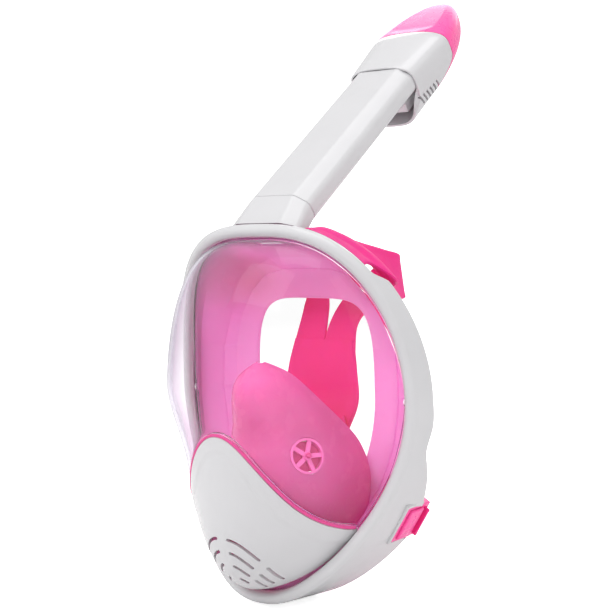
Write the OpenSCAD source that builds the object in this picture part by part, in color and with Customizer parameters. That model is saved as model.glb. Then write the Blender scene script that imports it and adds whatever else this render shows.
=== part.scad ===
// Full face snorkel: a domed mask with a silicone skirt and nose pocket, and a dry-top tube
// that plugs into the top of the frame. X is the wearer's left, -Y the way the face looks, +Z up.
// The origin is the middle of the face seal.

/* [Window rim] */
// Half width of the window at its rim
rim_half_w = 91; // [78:1:110]
// Height of the rim's top above the middle of the face
rim_top = 107; // [94:1:128]
// Depth of the rim's chin below the middle of the face
rim_low = 124.5; // [108:0.5:149]
// Narrowing of the rim towards the chin
chin_taper = 0.24; // [0.12:0.02:0.34]
// How far the rim lies in front of the face seal at mid height
rim_y0 = -38; // [-46:1:-32]
// Sweep of the rim back to the temples
side_sweep = 8; // [2:1:14]
// How far the rim's top reaches forward
top_forward = 25.7; // [18:0.5:31]
// How far the rim's chin reaches forward
chin_forward = 31.2; // [22:0.5:37]

/* [Window and chin cover] */
// Most forward point of the dome
dome_y = -108; // [-122:1:-96]
// Wall of the clear window
lens_wall = 2; // [1.6:0.2:3]
// Wall of the chin cover
cover_wall = 2.4; // [1.8:0.2:3]
// Height of the chin cover's peak
peak_z = -16; // [-28:1:-6]
// Half width of the chin cover where it meets the rim
cover_half_w = 63; // [54:0.5:68]
// Width of one exhaust slot
slot_w = 2.6; // [1.6:0.2:3.4]
// Pitch of the exhaust slots
slot_pitch = 9; // [7:0.5:10.5]

/* [Frame] */
// Width of the frame's bead beside the window
bead_w = 9.6; // [8.6:0.2:12]
// Wall of the frame
frame_wall = 2.6; // [2:0.2:3.4]
// Depth of the side wall at the top
depth_top = 15; // [12:1:18]
// Depth of the side wall at the temples
depth_side = 16.5; // [14:0.5:20]
// Depth of the side wall at the jaw
depth_jaw = 45; // [38:1:52]

/* [Skirt and pocket] */
// Half width of the face opening
face_half_w = 50; // [42:1:56]
// Height of the face opening's top
face_top = 66; // [56:1:74]
// Depth of the face opening's chin
face_low = 96; // [84:1:102]
// Wall of the silicone
skin = 2.2; // [1.6:0.2:3]
// Height of the nose pocket's peak
pocket_top = 20; // [12:1:26]
// Outer radius of the inhale valve wheels
wheel_r = 12; // [10:0.5:13.5]
// Outer radius of the chin drain valve
drain_r = 14; // [11:0.5:15]

/* [Snorkel] */
// Half width of the tube
tube_w = 26.5; // [22:0.5:31]
// Half depth of the tube
tube_t = 12.5; // [11:0.5:15]
// Half width of the tube's flat front
tube_flat = 16.5; // [13:0.5:20]
// Length of the tube from its seam to the lip of the dry top
tube_len = 155.5; // [130:0.5:186]
// Lean of the tube back from the vertical
lean = 54.3; // [50:0.1:58]
// Wall of the tube
tube_wall = 2.2; // [1.8:0.2:3]
// Length of the tube's plug in its socket
plug_len = 9.5; // [7:0.5:12]
// Clearance round the plug
plug_gap = 0.15; // [0.1:0.05:0.3]
// Length of the white head from its lip to the cap, along its front
head_len = 49.5; // [44:0.5:58]
// Length of the coloured cap, along its front
cap_len = 58.5; // [50:0.5:68]
// Half width of the head where the cap begins
head_w = 33.5; // [31:0.5:38]
// Half depth of the head's flat front where the cap begins
head_t = 15; // [14:0.5:18]
// Reach of the rear hump behind the tube's axis, at its mouth
hump_t = 32; // [31:0.5:36]
// Reach of the rear hump where the cap begins
hump_top_t = 27.5; // [26.5:0.5:31]
// Travel of the float
float_travel = 11; // [8:0.5:13]

/* [Straps and clips] */
// Thickness of the straps
strap_t = 2.2; // [1.6:0.2:3]
// Half width of an upper strap at its narrowest
strap_w = 11.5; // [9:0.5:13.5]
// Half width of the pad behind the head
pad_w = 30; // [24:1:36]
// Width of a quick-release clip
clip_w = 28; // [24:1:32]
// Travel of a clip out of the frame
clip_travel = 20; // [16:1:26]

/* [Hidden] */

WHITE = [0.93, 0.93, 0.94];
PINK = [1.0, 0.45, 0.70];
HOT_PINK = [1.0, 0.25, 0.52];
CLEAR = [0.85, 0.9, 0.95, 0.4];

gap = 0.3;          // between stacked pieces of the mask
tuck = 3.8;         // how far the window runs back under the bead
lip_s = 5.4;        // reach of flange, skirt lip and clamp ring outside the rim
dome_mid = -30;     // height at which the dome is fullest
$fn = 48;

// ---- helpers ----
function sgn(v) = v < 0 ? -1 : 1;
function mix(a, b, u) = a + (b - a) * u;
function clamp01(u) = min(1, max(0, u));
function ease(u) = let(w = clamp01(u)) w * w * (3 - 2 * w);
function unit(v) = v / norm(v);
// Smooth curve through the points pts, u from 0 to 1
function along(pts, u) = let(n = len(pts) - 1, w = clamp01(u) * n, i = min(n - 1, floor(w)), f = w - i,
    p1 = pts[i], p2 = pts[i + 1], p0 = i > 0 ? pts[i - 1] : 2 * p1 - p2,
    p3 = i < n - 1 ? pts[i + 2] : 2 * p2 - p1)
    0.5 * (2 * p1 + (p2 - p0) * f + (2 * p0 - 5 * p1 + 4 * p2 - p3) * f * f
    + (3 * p1 - 3 * p2 + p3 - p0) * f * f * f);
// Outward normal of a surface f(u, v)
function srf_n(f, u, v, e = 0.004) = unit(cross(
    f(min(1, u + e), v) - f(max(0, u - e), v), f(u, min(1, v + e)) - f(u, max(0, v - e))));

// Closed loop of rings of points, each ring closed
module ring_solid(rows, flip = false) {
    n = len(rows);
    m = len(rows[0]);
    faces = [for (i = [0:n - 1], j = [0:m - 1], h = [0, 1])
        let(a = i * m + j, b = ((i + 1) % n) * m + j, c = ((i + 1) % n) * m + (j + 1) % m, d = i * m + (j + 1) % m,
            f = h == 0 ? [a, b, c] : [a, c, d])
        flip ? [f[2], f[1], f[0]] : f];
    polyhedron([for (r = rows, p = r) p], faces);
}

// Open run of rings; each ring runs along one side and back along the other, so its ends are thin strips
module strip_solid(rows, flip = false) {
    n = len(rows);
    m = len(rows[0]);
    k = m / 2;
    sides = [for (i = [0:n - 2], j = [0:m - 1], h = [0, 1])
        let(a = i * m + j, b = (i + 1) * m + j, c = (i + 1) * m + (j + 1) % m, d = i * m + (j + 1) % m)
        h == 0 ? [a, b, c] : [a, c, d]];
    ends = [for (e = [0, 1], j = [0:k - 2], h = [0, 1])
        let(o = e * (n - 1) * m, a = o + j, b = o + j + 1, c = o + m - 2 - j, d = o + m - 1 - j,
            f = h == 0 ? [a, b, c] : [a, c, d])
        e == 0 ? f : [f[2], f[1], f[0]]];
    faces = concat(sides, ends);
    polyhedron([for (r = rows, p = r) p], flip ? [for (f = faces) [f[2], f[1], f[0]]] : faces);
}

// Sheet of thickness th under the surface f(u, v), lifted by off
module sheet(f, nu, nv, th, off = 0, flip = false) {
    rows = [for (i = [0:nu]) let(u = i / nu,
        pn = [for (j = [0:nv]) let(v = j / nv) [f(u, v), srf_n(f, u, v)]])
        concat([for (q = pn) q[0] + q[1] * off], [for (j = [nv:-1:0]) pn[j][0] + pn[j][1] * (off - th)])];
    strip_solid(rows, flip);
}

// ---- the window's rim ----
function rim_xz(t) = let(c = cos(t), s = sin(t))
    s >= 0 ? [rim_half_w * sgn(c) * pow(abs(c), 0.69), rim_top * s]
    : [rim_half_w * (1 - chin_taper * s * s) * sgn(c) * pow(abs(c), 0.89), rim_low * s];
function rim_n(t) = let(d = rim_xz(t + 1) - rim_xz(t - 1)) [d[1], -d[0]] / norm(d);
function rim_y(x, z) = let(v = z >= 0 ? z / rim_top : z / rim_low)
    rim_y0 + side_sweep * pow(x / rim_half_w, 2) - (z >= 0 ? top_forward : chin_forward) * v * v;
// A point s outside the rim and d behind it
function rim_at(t, s, d) = let(p = rim_xz(t), n = rim_n(t))
    [p[0] + s * n[0], rim_y(p[0], p[1]) + d, p[1] + s * n[1]];
// Half width of the rim at height z, and the heights where it crosses x
function rim_w(z) = let(v = clamp01(abs(z) / (z >= 0 ? rim_top : rim_low)), c = sqrt(1 - v * v))
    rim_half_w * (z >= 0 ? pow(c, 0.69) : (1 - chin_taper * v * v) * pow(c, 0.89));
function rim_z_top(x) = let(c = pow(clamp01(abs(x) / rim_half_w), 1 / 0.69)) rim_top * sqrt(1 - c * c);
function rim_z_low(x, lo = 0, hi = 1, n = 16) = let(m = (lo + hi) / 2)
    n == 0 ? -rim_low * m : rim_w(-rim_low * m) > abs(x) ? rim_z_low(x, m, hi, n - 1)
    : rim_z_low(x, lo, m, n - 1);

// ---- the dome of window and chin cover ----
function centre_y(z) = let(up = z >= dome_mid,
    edge = rim_y(0, up ? rim_top : -rim_low) + tuck,
    q = clamp01(up ? (z - dome_mid) / (rim_top - dome_mid) : (dome_mid - z) / (rim_low + dome_mid)))
    edge + (dome_y - edge) * sqrt(1 - pow(q, up ? 2.4 : 3.8));
function dome_at(x, z) = let(w = max(0.5, rim_w(z)), q = min(1, abs(x) / w), edge = rim_y(w, z) + tuck)
    [x, edge + (centre_y(z) - edge) * sqrt(1 - q * q), z];
// The S-shaped line between window and chin cover
rim_join_z = rim_z_low(cover_half_w) + 2.4;
function join_z(x) = let(q = clamp01(abs(x) / cover_half_w)) mix(peak_z, rim_join_z, 0.75 * ease(pow(q, 1.45)) + 0.25 * q * q);
ring_n = 60;        // points round the rim of the ring-shaped pieces
ring_step = 360 / ring_n;
side_reach = 84.5;  // angle across the dome at which the window ends under the bead
// Half height of the gasket's groove, which keeps its width where the line is steep
function join_gap(x) = 1.3 * norm([1, join_z(x + 0.5) - join_z(x - 0.5)]);
function lens_srf(u, v) = let(x = rim_half_w * sin(mix(-side_reach, side_reach, u)),
    low = abs(x) < cover_half_w ? join_z(x) + join_gap(x) : rim_z_low(x), top = rim_z_top(x) - 0.3)
    dome_at(x, mix(low, top, (1 - cos(180 * v)) / 2));
// Slit between the cover's lower edge and the rim, widest at the chin
function chin_slit(x) = 0.4 + 2.6 * max(0, 1 - pow(x / (0.73 * cover_half_w), 2));
function cover_srf(u, v) = let(x = cover_half_w * sin(mix(-90, 90, u)),
    top = join_z(x) - join_gap(x), low = max(min(rim_z_low(x) + chin_slit(x), top - 0.8), -rim_low + chin_slit(x)))
    dome_at(x, mix(low, top, (1 - cos(180 * v)) / 2));

module visor_lens() color(CLEAR) {
    sheet(function(u, v) lens_srf(u, v), 32, 9, lens_wall, 0, true);
    ring_solid([for (i = [0:ring_n - 1]) let(t = i * ring_step)
        [rim_at(t, -1.2, 2.9), rim_at(t, lip_s, 2.9), rim_at(t, lip_s, 4.7), rim_at(t, -1.2, 4.7)]]);
}

slot_z = -80.3;     // height of the uppermost exhaust slot on the centre line
slot_rows = 4;
slot_start = 3.4;   // where the long slots begin beside the middle
// Arched rows of slots: each side of the middle a long slot, and a short one beyond it
module exhaust_slots() for (k = [0:slot_rows - 1]) {
    reach = 26.5 - 6.5 * k + 0.35 * k * k;
    fall = 15.4 - 3.2 * k;
    long = [for (i = [0:5]) let(x = mix(slot_start, reach, i / 5)) [x, -fall * pow(x / reach, 2.6)]];
    short = [[1.06 * reach, -1.25 * fall], [1.16 * reach, -1.95 * fall]];
    for (side = [-1, 1], run = k < slot_rows - 1 ? [long, short] : [long])
        translate([0, 0, slot_z - k * slot_pitch]) slot_run(side, run);
}
// One slot along the points pts, which rise and fall with X and Z
module slot_run(side, pts) {
    half = slot_w / 2 * [side * 0.7, 1];
    line = [for (p = pts) [side * p[0], p[1]]];
    rotate([90, 0, 0]) translate([0, 0, 60]) linear_extrude(70)
        polygon(concat([for (p = line) p + half], [for (i = [len(line) - 1:-1:0]) line[i] - half]));
}
module chin_cover() color(WHITE) difference() {
    sheet(function(u, v) cover_srf(u, v), 28, 11, cover_wall, 0.6, true);
    exhaust_slots();
}

module chin_gasket() color(HOT_PINK) {
    r = 1;
    n = 30;
    rings = [for (i = [0:n]) let(x = cover_half_w * sin(mix(-88, 88, i / n)),
        c = dome_at(x, join_z(x)), d = unit(dome_at(x + 0.5, join_z(x + 0.5)) - dome_at(x - 0.5, join_z(x - 0.5))),
        a = unit(cross(d, [0, -1, 0])), b = cross(d, a))
        [for (k = [0:7]) c + r * (a * cos(45 * k + 22.5) + b * sin(45 * k + 22.5))]];
    strip_solid(rings);
}

// ---- frame ----
// Angle round the rim below the horizontal, 0 at the temples and 90 at the chin
function below(t) = let(w = (t % 360 + 360) % 360) w > 180 ? 90 - abs(w - 270) : 0;
notch_at = 13;      // where the side wall is waisted above the clips
function notch(t) = exp(-pow((below(t) - notch_at) / 5, 2));
// The side wall drops to the bead where an upper strap comes out, between the two angles of strap_gate
strap_gate = [47.5, 80.5];
gate_low = 5;       // depth that stays there
function from_side(t) = let(w = (t % 360 + 360) % 360) w > 180 ? 0 : w > 90 ? 180 - w : w;
function gate(t) = let(w = from_side(t)) ease((w - strap_gate[0] + 5) / 5) * ease((strap_gate[1] + 4 - w) / 4);
function frame_depth(t) = let(s = sin(t))
    s >= 0 ? mix(mix(depth_side, depth_top, s), gate_low, gate(t))
    : mix(depth_side, depth_jaw, ease((below(t) - 12) / 33)) - 2.5 * notch(t);
function frame_flare(t) = let(s = sin(t))
    s >= 0 ? mix(bead_w + 3, bead_w, ease(s)) : bead_w + 3 + 4 * sin(180 * min(1, -s)) - 2 * notch(t);
function frame_section(t) = let(f = frame_flare(t), d = frame_depth(t), w = frame_wall)
    [[0.7, 1.4], [1.5, -1.5], [4.4, -3.4], [7.4, -2.6], [bead_w - 0.4, -0.4], [bead_w, 2],
    [f, d], [f - w, d], [bead_w - w - 0.2, 4], [6.2, 2.6], [0.8, 2.6]];
frame_n = 120;      // points round the frame
module frame_ring() ring_solid([for (i = [0:frame_n - 1]) let(t = i * 360 / frame_n)
    [for (p = frame_section(t)) rim_at(t, p[0], p[1])]]);

// Middle of a clip on the frame's lower side, with +X out of the wall, +Y back and +Z up along the rim
clip_t = 323.5;
clip_back = 1;      // height of the clip's back face behind the frame's edge
clip_p = rim_at(clip_t, frame_flare(clip_t) - 0.2, frame_depth(clip_t));
clip_n = rim_n(clip_t);
clip_deep = 18;     // how far the clip reaches into the frame
clip_thick = 6.4;
module at_clip(side) mirror([side < 0 ? 1 : 0, 0, 0])
    translate(clip_p) rotate([0, atan2(-clip_n[1], clip_n[0]), 0]) children();
module clip_receiver() translate([-clip_thick - 3.6, -clip_deep - 1.6, -clip_w / 2 - 2])
    cube([clip_thick + 2, clip_deep + 1.6, clip_w + 4]);
module clip_slot() translate([-clip_thick - 1.6, -clip_deep, -clip_w / 2 - 0.2])
    cube([clip_thick + 12, clip_deep + 20, clip_w + 0.4]);

module mask_frame() color(WHITE) difference() {
    union() {
        frame_ring();
        for (side = [-1, 1]) at_clip(side) clip_receiver();
        for (side = [-1, 1]) mirror([side < 0 ? 1 : 0, 0, 0]) strap_tongue();
    }
    for (side = [-1, 1]) at_clip(side) clip_slot();
    // seat of the snorkel socket behind the bead
    translate([-foot_w - gap, foot_front - gap, rim_top + lip_s - 1.6]) cube([2 * (foot_w + gap), 60, 20]);
}

module clip_body(side) color(HOT_PINK) at_clip(side) difference() {
    union() {
        translate([-clip_thick - 1.4, 0.2 - clip_deep, -clip_w / 2]) cube([clip_thick, clip_deep + clip_back, clip_w]);
        // strap bar behind the frame
        translate([-clip_thick - 1.4, clip_back, -clip_w / 2]) cube([clip_thick, 7.2, clip_w]);
    }
    // recess under the button
    translate([-3.6, 0.4 - clip_deep + 3, -clip_w / 2 + 2]) cube([4, clip_deep - 3, clip_w - 4]);
    // slot for the strap
    translate([-clip_thick - 3, clip_back + 1.8, -clip_w / 2 + 3]) cube([clip_thick + 4, 3.6, clip_w - 6]);
}
module clip_button(side) color(HOT_PINK) at_clip(side)
    translate([-2, 0.6 - clip_deep + 3, -clip_w / 2 + 2.2]) cube([2.4, clip_deep - 3.4, clip_w - 4.4]);

// Ring behind the skirt's flange; eight snap tabs, clear of the straps, stand out to the frame's wall
function snap(t) = let(w = abs((t + 90) % 360 - 180)) w > 58 && w % 36 > 20 ? 1.1 : 0;
module clamp_ring() color(WHITE) ring_solid([for (i = [0:ring_n - 1]) let(t = i * ring_step, s = lip_s + snap(t))
    [rim_at(t, -0.6, 8.2), rim_at(t, s, 8.2), rim_at(t, s, 12), rim_at(t, -0.6, 12)]]);

// ---- skirt ----
face_y = -3;
function face_xz(t) = let(c = cos(t), s = sin(t))
    s >= 0 ? [face_half_w * sgn(c) * pow(abs(c), 0.75), face_top * s]
    : [face_half_w * (1 - 0.34 * s * s) * c, face_low * s];
// A point u of the way from the rim to the face opening, and v of the way back
function skirt_at(t, u, v, d = 0) = let(p = mix(rim_xz(t), face_xz(t), u), q = rim_xz(t))
    [p[0], mix(rim_y(q[0], q[1]) + 6, face_y, v) + d, p[1]];
module face_skirt() color(PINK) difference() {
    ring_solid([for (i = [0:ring_n - 1]) let(t = i * ring_step) [
        rim_at(t, lip_s, 5), rim_at(t, -1.6, 5), skirt_at(t, 0.1, 0.3), skirt_at(t, 0.28, 0.7),
        skirt_at(t, 0.5, 0.94), skirt_at(t, 0.78, 1, -0.6), skirt_at(t, 1, 1),
        skirt_at(t, 0.99, 1, skin), skirt_at(t, 0.66, 1, skin), skirt_at(t, 0.6, 1, 6), skirt_at(t, 0.56, 1, 6),
        skirt_at(t, 0.47, 0.95, skin), skirt_at(t, 0.235, 0.74, skin), skirt_at(t, 0.05, 0.34, skin),
        rim_at(t, -0.8, 8), rim_at(t, lip_s, 8)]], true);
    // port from the snorkel socket
    translate([-port_half, rim_y(0, rim_top) + 12.4, rim_top - 14]) cube([2 * port_half, 9, 18]);
}
port_half = 12;     // half width of that port

// ---- nose pocket ----
pocket_low = -104;
pocket_path = [   // height, half width, rear edge, front: from peak to chin
    [0, 4, -44, -48], [0.12, 20, -34, -57], [0.28, 32, -20, -67], [0.44, 41, -10, -78],
    [0.60, 45, -6.4, -85], [0.78, 42, -7, -87], [0.92, 33, -13.6, -82], [1, 24, -23, -74]];
function pocket_row(v) = along([for (p = pocket_path) [p[1], p[2], p[3], p[0]]], v);
function pocket_srf(u, v) = let(r = pocket_row(v), a = mix(-90, 90, u))
    [r[0] * sin(a), r[1] + (r[2] - r[1]) * pow(max(0, cos(a)), 0.9), mix(pocket_top, pocket_low, r[3])];
module nose_pocket() color(PINK) difference() {
    sheet(function(u, v) pocket_srf(u, v), 28, 16, skin, 0, true);
    for (side = [-1, 1]) at_wheel(side) translate([0, 0, -12]) cylinder(r = wheel_r + 0.15, h = 24);
    at_drain() translate([0, 0, -12]) cylinder(r = drain_r + 0.15, h = 24);
}

// Inhale valve wheels, on the pocket's cheeks: +Z of their frame points out of the pocket
wheel_u = 0.78;
wheel_v = 0.43;
wheel_c = pocket_srf(wheel_u, wheel_v);
wheel_n = -srf_n(function(u, v) pocket_srf(u, v), wheel_u, wheel_v);
module look_along(n) rotate([0, acos(n[2]), atan2(n[1], n[0])]) children();
module at_wheel(side) mirror([side < 0 ? 1 : 0, 0, 0]) translate(wheel_c) look_along(wheel_n) children();
module spoked_seat(r, spokes, hub_r, h) {
    rim = 1.8;
    difference() {
        union() {
            difference() {
                cylinder(r = r, h = h);
                translate([0, 0, -1]) cylinder(r = r - rim, h = h + 2);
            }
            for (k = [0:spokes - 1]) rotate([0, 0, 90 + k * 360 / spokes])
                translate([hub_r - 1, -1.1, h - 2.2]) cube([r - rim - hub_r + 1.6, 2.2, 1.6]);
            translate([0, 0, h - 2.6]) cylinder(r = hub_r, h = 2.8);
        }
        translate([0, 0, -1]) cylinder(r = 1.3, h = h + 4);
    }
}
// Silicone disc with its stem and knob, lying under the spokes of a seat of height h
module flap_disc(r, h) {
    translate([0, 0, h - 3.7]) cylinder(r = r, h = 0.9);
    translate([0, 0, h - 3.7]) cylinder(r = 1.25, h = 6);
    translate([0, 0, h + 1.9]) cylinder(r1 = 1.9, r2 = 1.2, h = 1.4);
}
seat_h = 6;
module valve_seat(side) color(PINK) at_wheel(side) translate([0, 0, -4.2]) spoked_seat(wheel_r, 5, 3, seat_h);
module inhale_flap(side) color(HOT_PINK) at_wheel(side) translate([0, 0, -4.2]) flap_disc(wheel_r - 2.2, seat_h);

// Chin drain: the flap lies outside its seat, towards the slots
drain_c = pocket_srf(0.5, 0.83);
drain_n = -srf_n(function(u, v) pocket_srf(u, v), 0.5, 0.83);
module at_drain() translate(drain_c) look_along(drain_n) children();
module drain_seat() color(WHITE) at_drain() translate([0, 0, 1.4]) mirror([0, 0, 1]) spoked_seat(drain_r, 6, 3, 5);
module drain_flap() color(HOT_PINK) at_drain() translate([0, 0, 1.4]) mirror([0, 0, 1]) flap_disc(drain_r - 2.2, 5);

// ---- snorkel ----
seam_y = -34.8;
seam_z = rim_top + 17.8;
foot_w = 29;
foot_front = rim_y(0, rim_top) + 3.6;
module on_tube() translate([0, seam_y, seam_z]) rotate([-lean, 0, 0]) children();
function tube_pt(p) = [p[0], seam_y + p[1] * cos(lean) + p[2] * sin(lean), seam_z - p[1] * sin(lean) + p[2] * cos(lean)];

// Octagon with rounded corners, grown by g; the flat front lies at -Y
function fillet(a, p, b, r) = let(u = unit(a - p), v = unit(b - p), h = acos(u * v) / 2, d = r / tan(h),
    c = p + unit(u + v) * r / sin(h), s = p + u * d - c, e = p + v * d - c,
    a0 = atan2(s[1], s[0]), sweep = 180 - 2 * h, way = sgn(s[0] * e[1] - s[1] * e[0]))
    [for (k = [0:3]) c + r * [cos(a0 + way * sweep * k / 3), sin(a0 + way * sweep * k / 3)]];
function tube_sec(g, w = tube_w, t = tube_t, f = tube_flat) = let(k = 0.41 * g,
    q = [[f + k, -t - g], [w + g, -t * 0.43 - k], [w + g, t * 0.43 + k], [f + k, t + g],
        [-f - k, t + g], [-w - g, t * 0.43 + k], [-w - g, -t * 0.43 - k], [-f - k, -t - g]])
    [for (i = [0:7]) each fillet(q[(i + 7) % 8], q[i], q[(i + 1) % 8], max(1, 6 + g))];
function sec_at(g, l) = [for (p = tube_sec(g)) [p[0], p[1], l]];

// Foot of the socket on the frame's top
foot_rear_y = -39.4;
foot_rear_z = rim_top;
foot_front_z = rim_top + bead_w + 0.4;
function foot_ring(g) = let(sec = tube_sec(g))
    [for (p = sec) let(k = (p[1] / tube_t + 1) / 2)
        [p[0] * foot_w / tube_w, mix(foot_front + 0.6, foot_rear_y, k), mix(foot_front_z, foot_rear_z, k)]];
plug_in = 3.5;        // how far the plug is set in from the tube's face
module snorkel_socket() color(WHITE) {
    top = [for (p = sec_at(0, -0.2)) tube_pt(p)];
    foot = foot_ring(0);
    bore_top = [for (p = sec_at(plug_gap - plug_in, -0.2)) tube_pt(p)];
    bore_low = [for (p = sec_at(plug_gap - plug_in, -plug_len - 1.7)) tube_pt(p)];
    duct = [for (p = sec_at(-plug_in - 3, -plug_len - 1.7)) tube_pt(p)];
    duct_low = foot_ring(-plug_in - 3);
    outer = [for (u = [0, 0.3, 0.6, 0.85, 1]) [for (i = [0:len(top) - 1]) mix(top[i], foot[i], u)]];
    ring_solid(concat(outer, [duct_low, duct, bore_low, bore_top]), true);
}
module socket_gasket() color(HOT_PINK) on_tube() translate([0, 0, -plug_len - 1.6])
    linear_extrude(1.4) difference() {
        polygon(tube_sec(-plug_in - 0.1));
        polygon(tube_sec(-plug_in - 2.4));
    }

tube_end = tube_len + 26;
divider = 9.5;      // half spacing of the two inner walls
module snorkel_tube() color(WHITE) on_tube() difference() {
    union() {
        linear_extrude(tube_end) polygon(tube_sec(0));
        translate([0, 0, -plug_len]) linear_extrude(plug_len + 1) polygon(tube_sec(-plug_in));
    }
    translate([0, 0, -plug_len - 1]) channels(plug_len + 4, -plug_in - tube_wall);
    translate([0, 0, 2]) channels(tube_end, -tube_wall);
    // the flat front steps in where the head covers it
    translate([-tube_w, -tube_t - 9.6, tube_len - 0.6]) cube([2 * tube_w, 10, tube_end]);
}
// One wide inhale channel and two exhale channels, h long, inside the outline grown by g
module channels(h, g) linear_extrude(h) difference() {
    polygon(tube_sec(g));
    for (side = [-1, 1]) translate([side * divider, 0]) square([1.4, 100], center = true);
}

head_z = tube_len;
part_z = tube_len + head_len;
part_drop = 25;     // how far the cap's edge runs down behind
lip_drop = 8;       // how far the hump's mouth lies below the lip
lip_grow = 1.8;     // step of the head's lip over the tube
head_m = 44;        // points round the head
// Head outline at angle a, grown by g, u of the way from the lip to the cap: flat front, rounded hump behind
function head_xy(a, g, u) = let(c = cos(a), s = sin(a), w = mix(tube_w + lip_grow, head_w, u) + g,
    front = mix(tube_t + lip_grow, head_t, u) + g, back = mix(hump_t, hump_top_t, u) + g)
    [w * sgn(c) * pow(abs(c), s < 0 ? 0.78 : 0.62), s < 0 ? -front * pow(-s, 0.62) : back * pow(s, 0.9)];
// How much of the hump an angle lies in: 0 at front and sides, 1 behind
function hump(a) = ease((sin(a) - 0.35) / 0.35);
function low_at(a) = head_z - lip_drop * hump(a);
function part_at(a) = part_z - part_drop * ease((sin(a) - 0.2) / 0.7);
function head_at(a, g, u, d = 0) = let(p = head_xy(a, g, u)) [p[0], p[1], mix(low_at(a), part_at(a), u) + d];
// The tube's own outline seen at the head's angle
function neck_at(a, g, l) = let(c = cos(a), s = sin(a))
    [(tube_w + g) * sgn(c) * pow(abs(c), 0.78), (tube_t + g) * sgn(s) * pow(abs(s), 0.62), l];
module dry_top_housing() color(WHITE) on_tube() difference() {
    w = 2;      // wall of the head
    rows = [for (i = [0:head_m - 1]) let(a = i * 360 / head_m, h = hump(a), low = low_at(a))
        [head_at(a, -0.8, 0), head_at(a, 0, 0, 1.6), head_at(a, 0, 0.5), head_at(a, 0, 1, -0.2),
        head_at(a, -w, 1, -0.2), head_at(a, -w, 0.5), head_at(a, -w, 0, mix(5, 1.6, h)),
        mix(neck_at(a, 0.4, low + 5), head_at(a, -w, 0, 1), h), mix(neck_at(a, 0.4, low), head_at(a, -w, 0), h)]];
    ring_solid(rows, true);
    linear_extrude(tube_end) polygon(tube_sec(0.1));
    // vents through both sides of the hump
    for (side = [-1, 1], k = [0:5]) translate([side * 27, 17, head_z + 2 + k * vent_pitch])
        rotate([30, 0, side * 12]) cube([10, 10, 1.8], center = true);
}
vent_pitch = 4.6;

// Cap: a pointed arch seen from the front
function cap_at(a, u, g) = let(p = head_xy(a, g, 1), k = pow(max(0, 1 - pow(u, 1.3)), 0.45),
    back = pow(max(0, 1 - pow(u, 3)), 0.79))
    [p[0] * k, p[1] * (p[1] < 0 ? mix(k, 1, 0.3) : back), mix(part_at(a), part_z + cap_len, u)];
module dry_top_cap() color(HOT_PINK) on_tube() {
    n = 9;
    w = 2;
    m = head_m;
    outer = [for (j = [0:n]) let(u = 0.99 * sin(90 * j / n)) [for (i = [0:m - 1]) cap_at(i * 360 / m, u, 0)]];
    inner = [for (j = [n:-1:0]) let(u = 0.94 * sin(90 * j / n)) [for (i = [0:m - 1]) cap_at(i * 360 / m, u, -w)]];
    tip = n;
    rings = concat(outer, inner);
    total = len(rings);
    faces = concat(
        [for (i = [0:total - 1], j = [0:m - 1], h = [0, 1]) if (i != tip)
            let(a = i * m + j, b = ((i + 1) % total) * m + j, c = ((i + 1) % total) * m + (j + 1) % m,
                d = i * m + (j + 1) % m)
            h == 0 ? [a, b, c] : [a, c, d]],
        [[for (j = [m - 1:-1:0]) tip * m + j]],
        [[for (j = [0:m - 1]) (tip + 1) * m + j]]);
    polyhedron([for (r = rings, p = r) p], faces);
}

// Seat plate across the head: open over the tube's channels, a slot port over the float
seat_z = tube_end + 0.3;
float_w = 30;
float_t = 9.5;
float_h = 18;
float_top = seat_z - 1.9 - float_travel;
port_w = 22;
port_t = 6;
chamber_y = tube_t + gap + float_t / 2;
module top_seat() color(WHITE) on_tube() translate([0, 0, seat_z]) difference() {
    linear_extrude(2) polygon([for (i = [0:head_m - 1]) let(p = head_xy(i * 360 / head_m, -3.4, 0.5))
        [p[0], min(p[1], hump_top_t - 4)]]);
    translate([0, 0, -1]) linear_extrude(4) polygon(tube_sec(-tube_wall));
    translate([0, 0, -1]) linear_extrude(4) translate([0, chamber_y]) square([port_w, port_t], center = true);
}
module float_block() color(WHITE) on_tube() translate([-float_w / 2, chamber_y - float_t / 2, float_top - float_h])
    cube([float_w, float_t, float_h]);
module float_seal() color(HOT_PINK) on_tube() translate([-float_w / 2 + 1, chamber_y - float_t / 2 + 0.5, float_top])
    cube([float_w - 2, float_t - 1, 1.6]);

// ---- straps ----
// Tongue of the frame that carries an upper strap, set in under the bead, with its stud
tongue = [58, 75];  // angles round the rim between which it lies
tongue_s = 5.9;     // its inner face, outside the rim
tongue_w = 1.3;
tongue_end = 24;    // how far it reaches back
stud_t = 67;        // where the stud stands
stud_r = 3.2;
strap_s = tongue_s + tongue_w + gap + strap_t / 2;
module strap_tongue() {
    n = 6;
    strip_solid([for (i = [0:n]) let(t = mix(tongue[0], tongue[1], i / n), s = tongue_s + tongue_w)
        [rim_at(t, s, 2), rim_at(t, s, tongue_end), rim_at(t, tongue_s, tongue_end), rim_at(t, tongue_s, 2)]]);
    at_stud(tongue_s + 0.6) cylinder(r = stud_r, h = 1.9);
}
module at_stud(s) translate(rim_at(stud_t, s, tongue_end - 7))
    rotate([0, atan2(rim_n(stud_t)[0], rim_n(stud_t)[1]), 0]) children();
// A point in the clip's frame, seen from the mask
function clip_pt(p) = clip_p + [clip_n[0] * p[0] - clip_n[1] * p[2], p[1], clip_n[1] * p[0] + clip_n[0] * p[2]];
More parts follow.
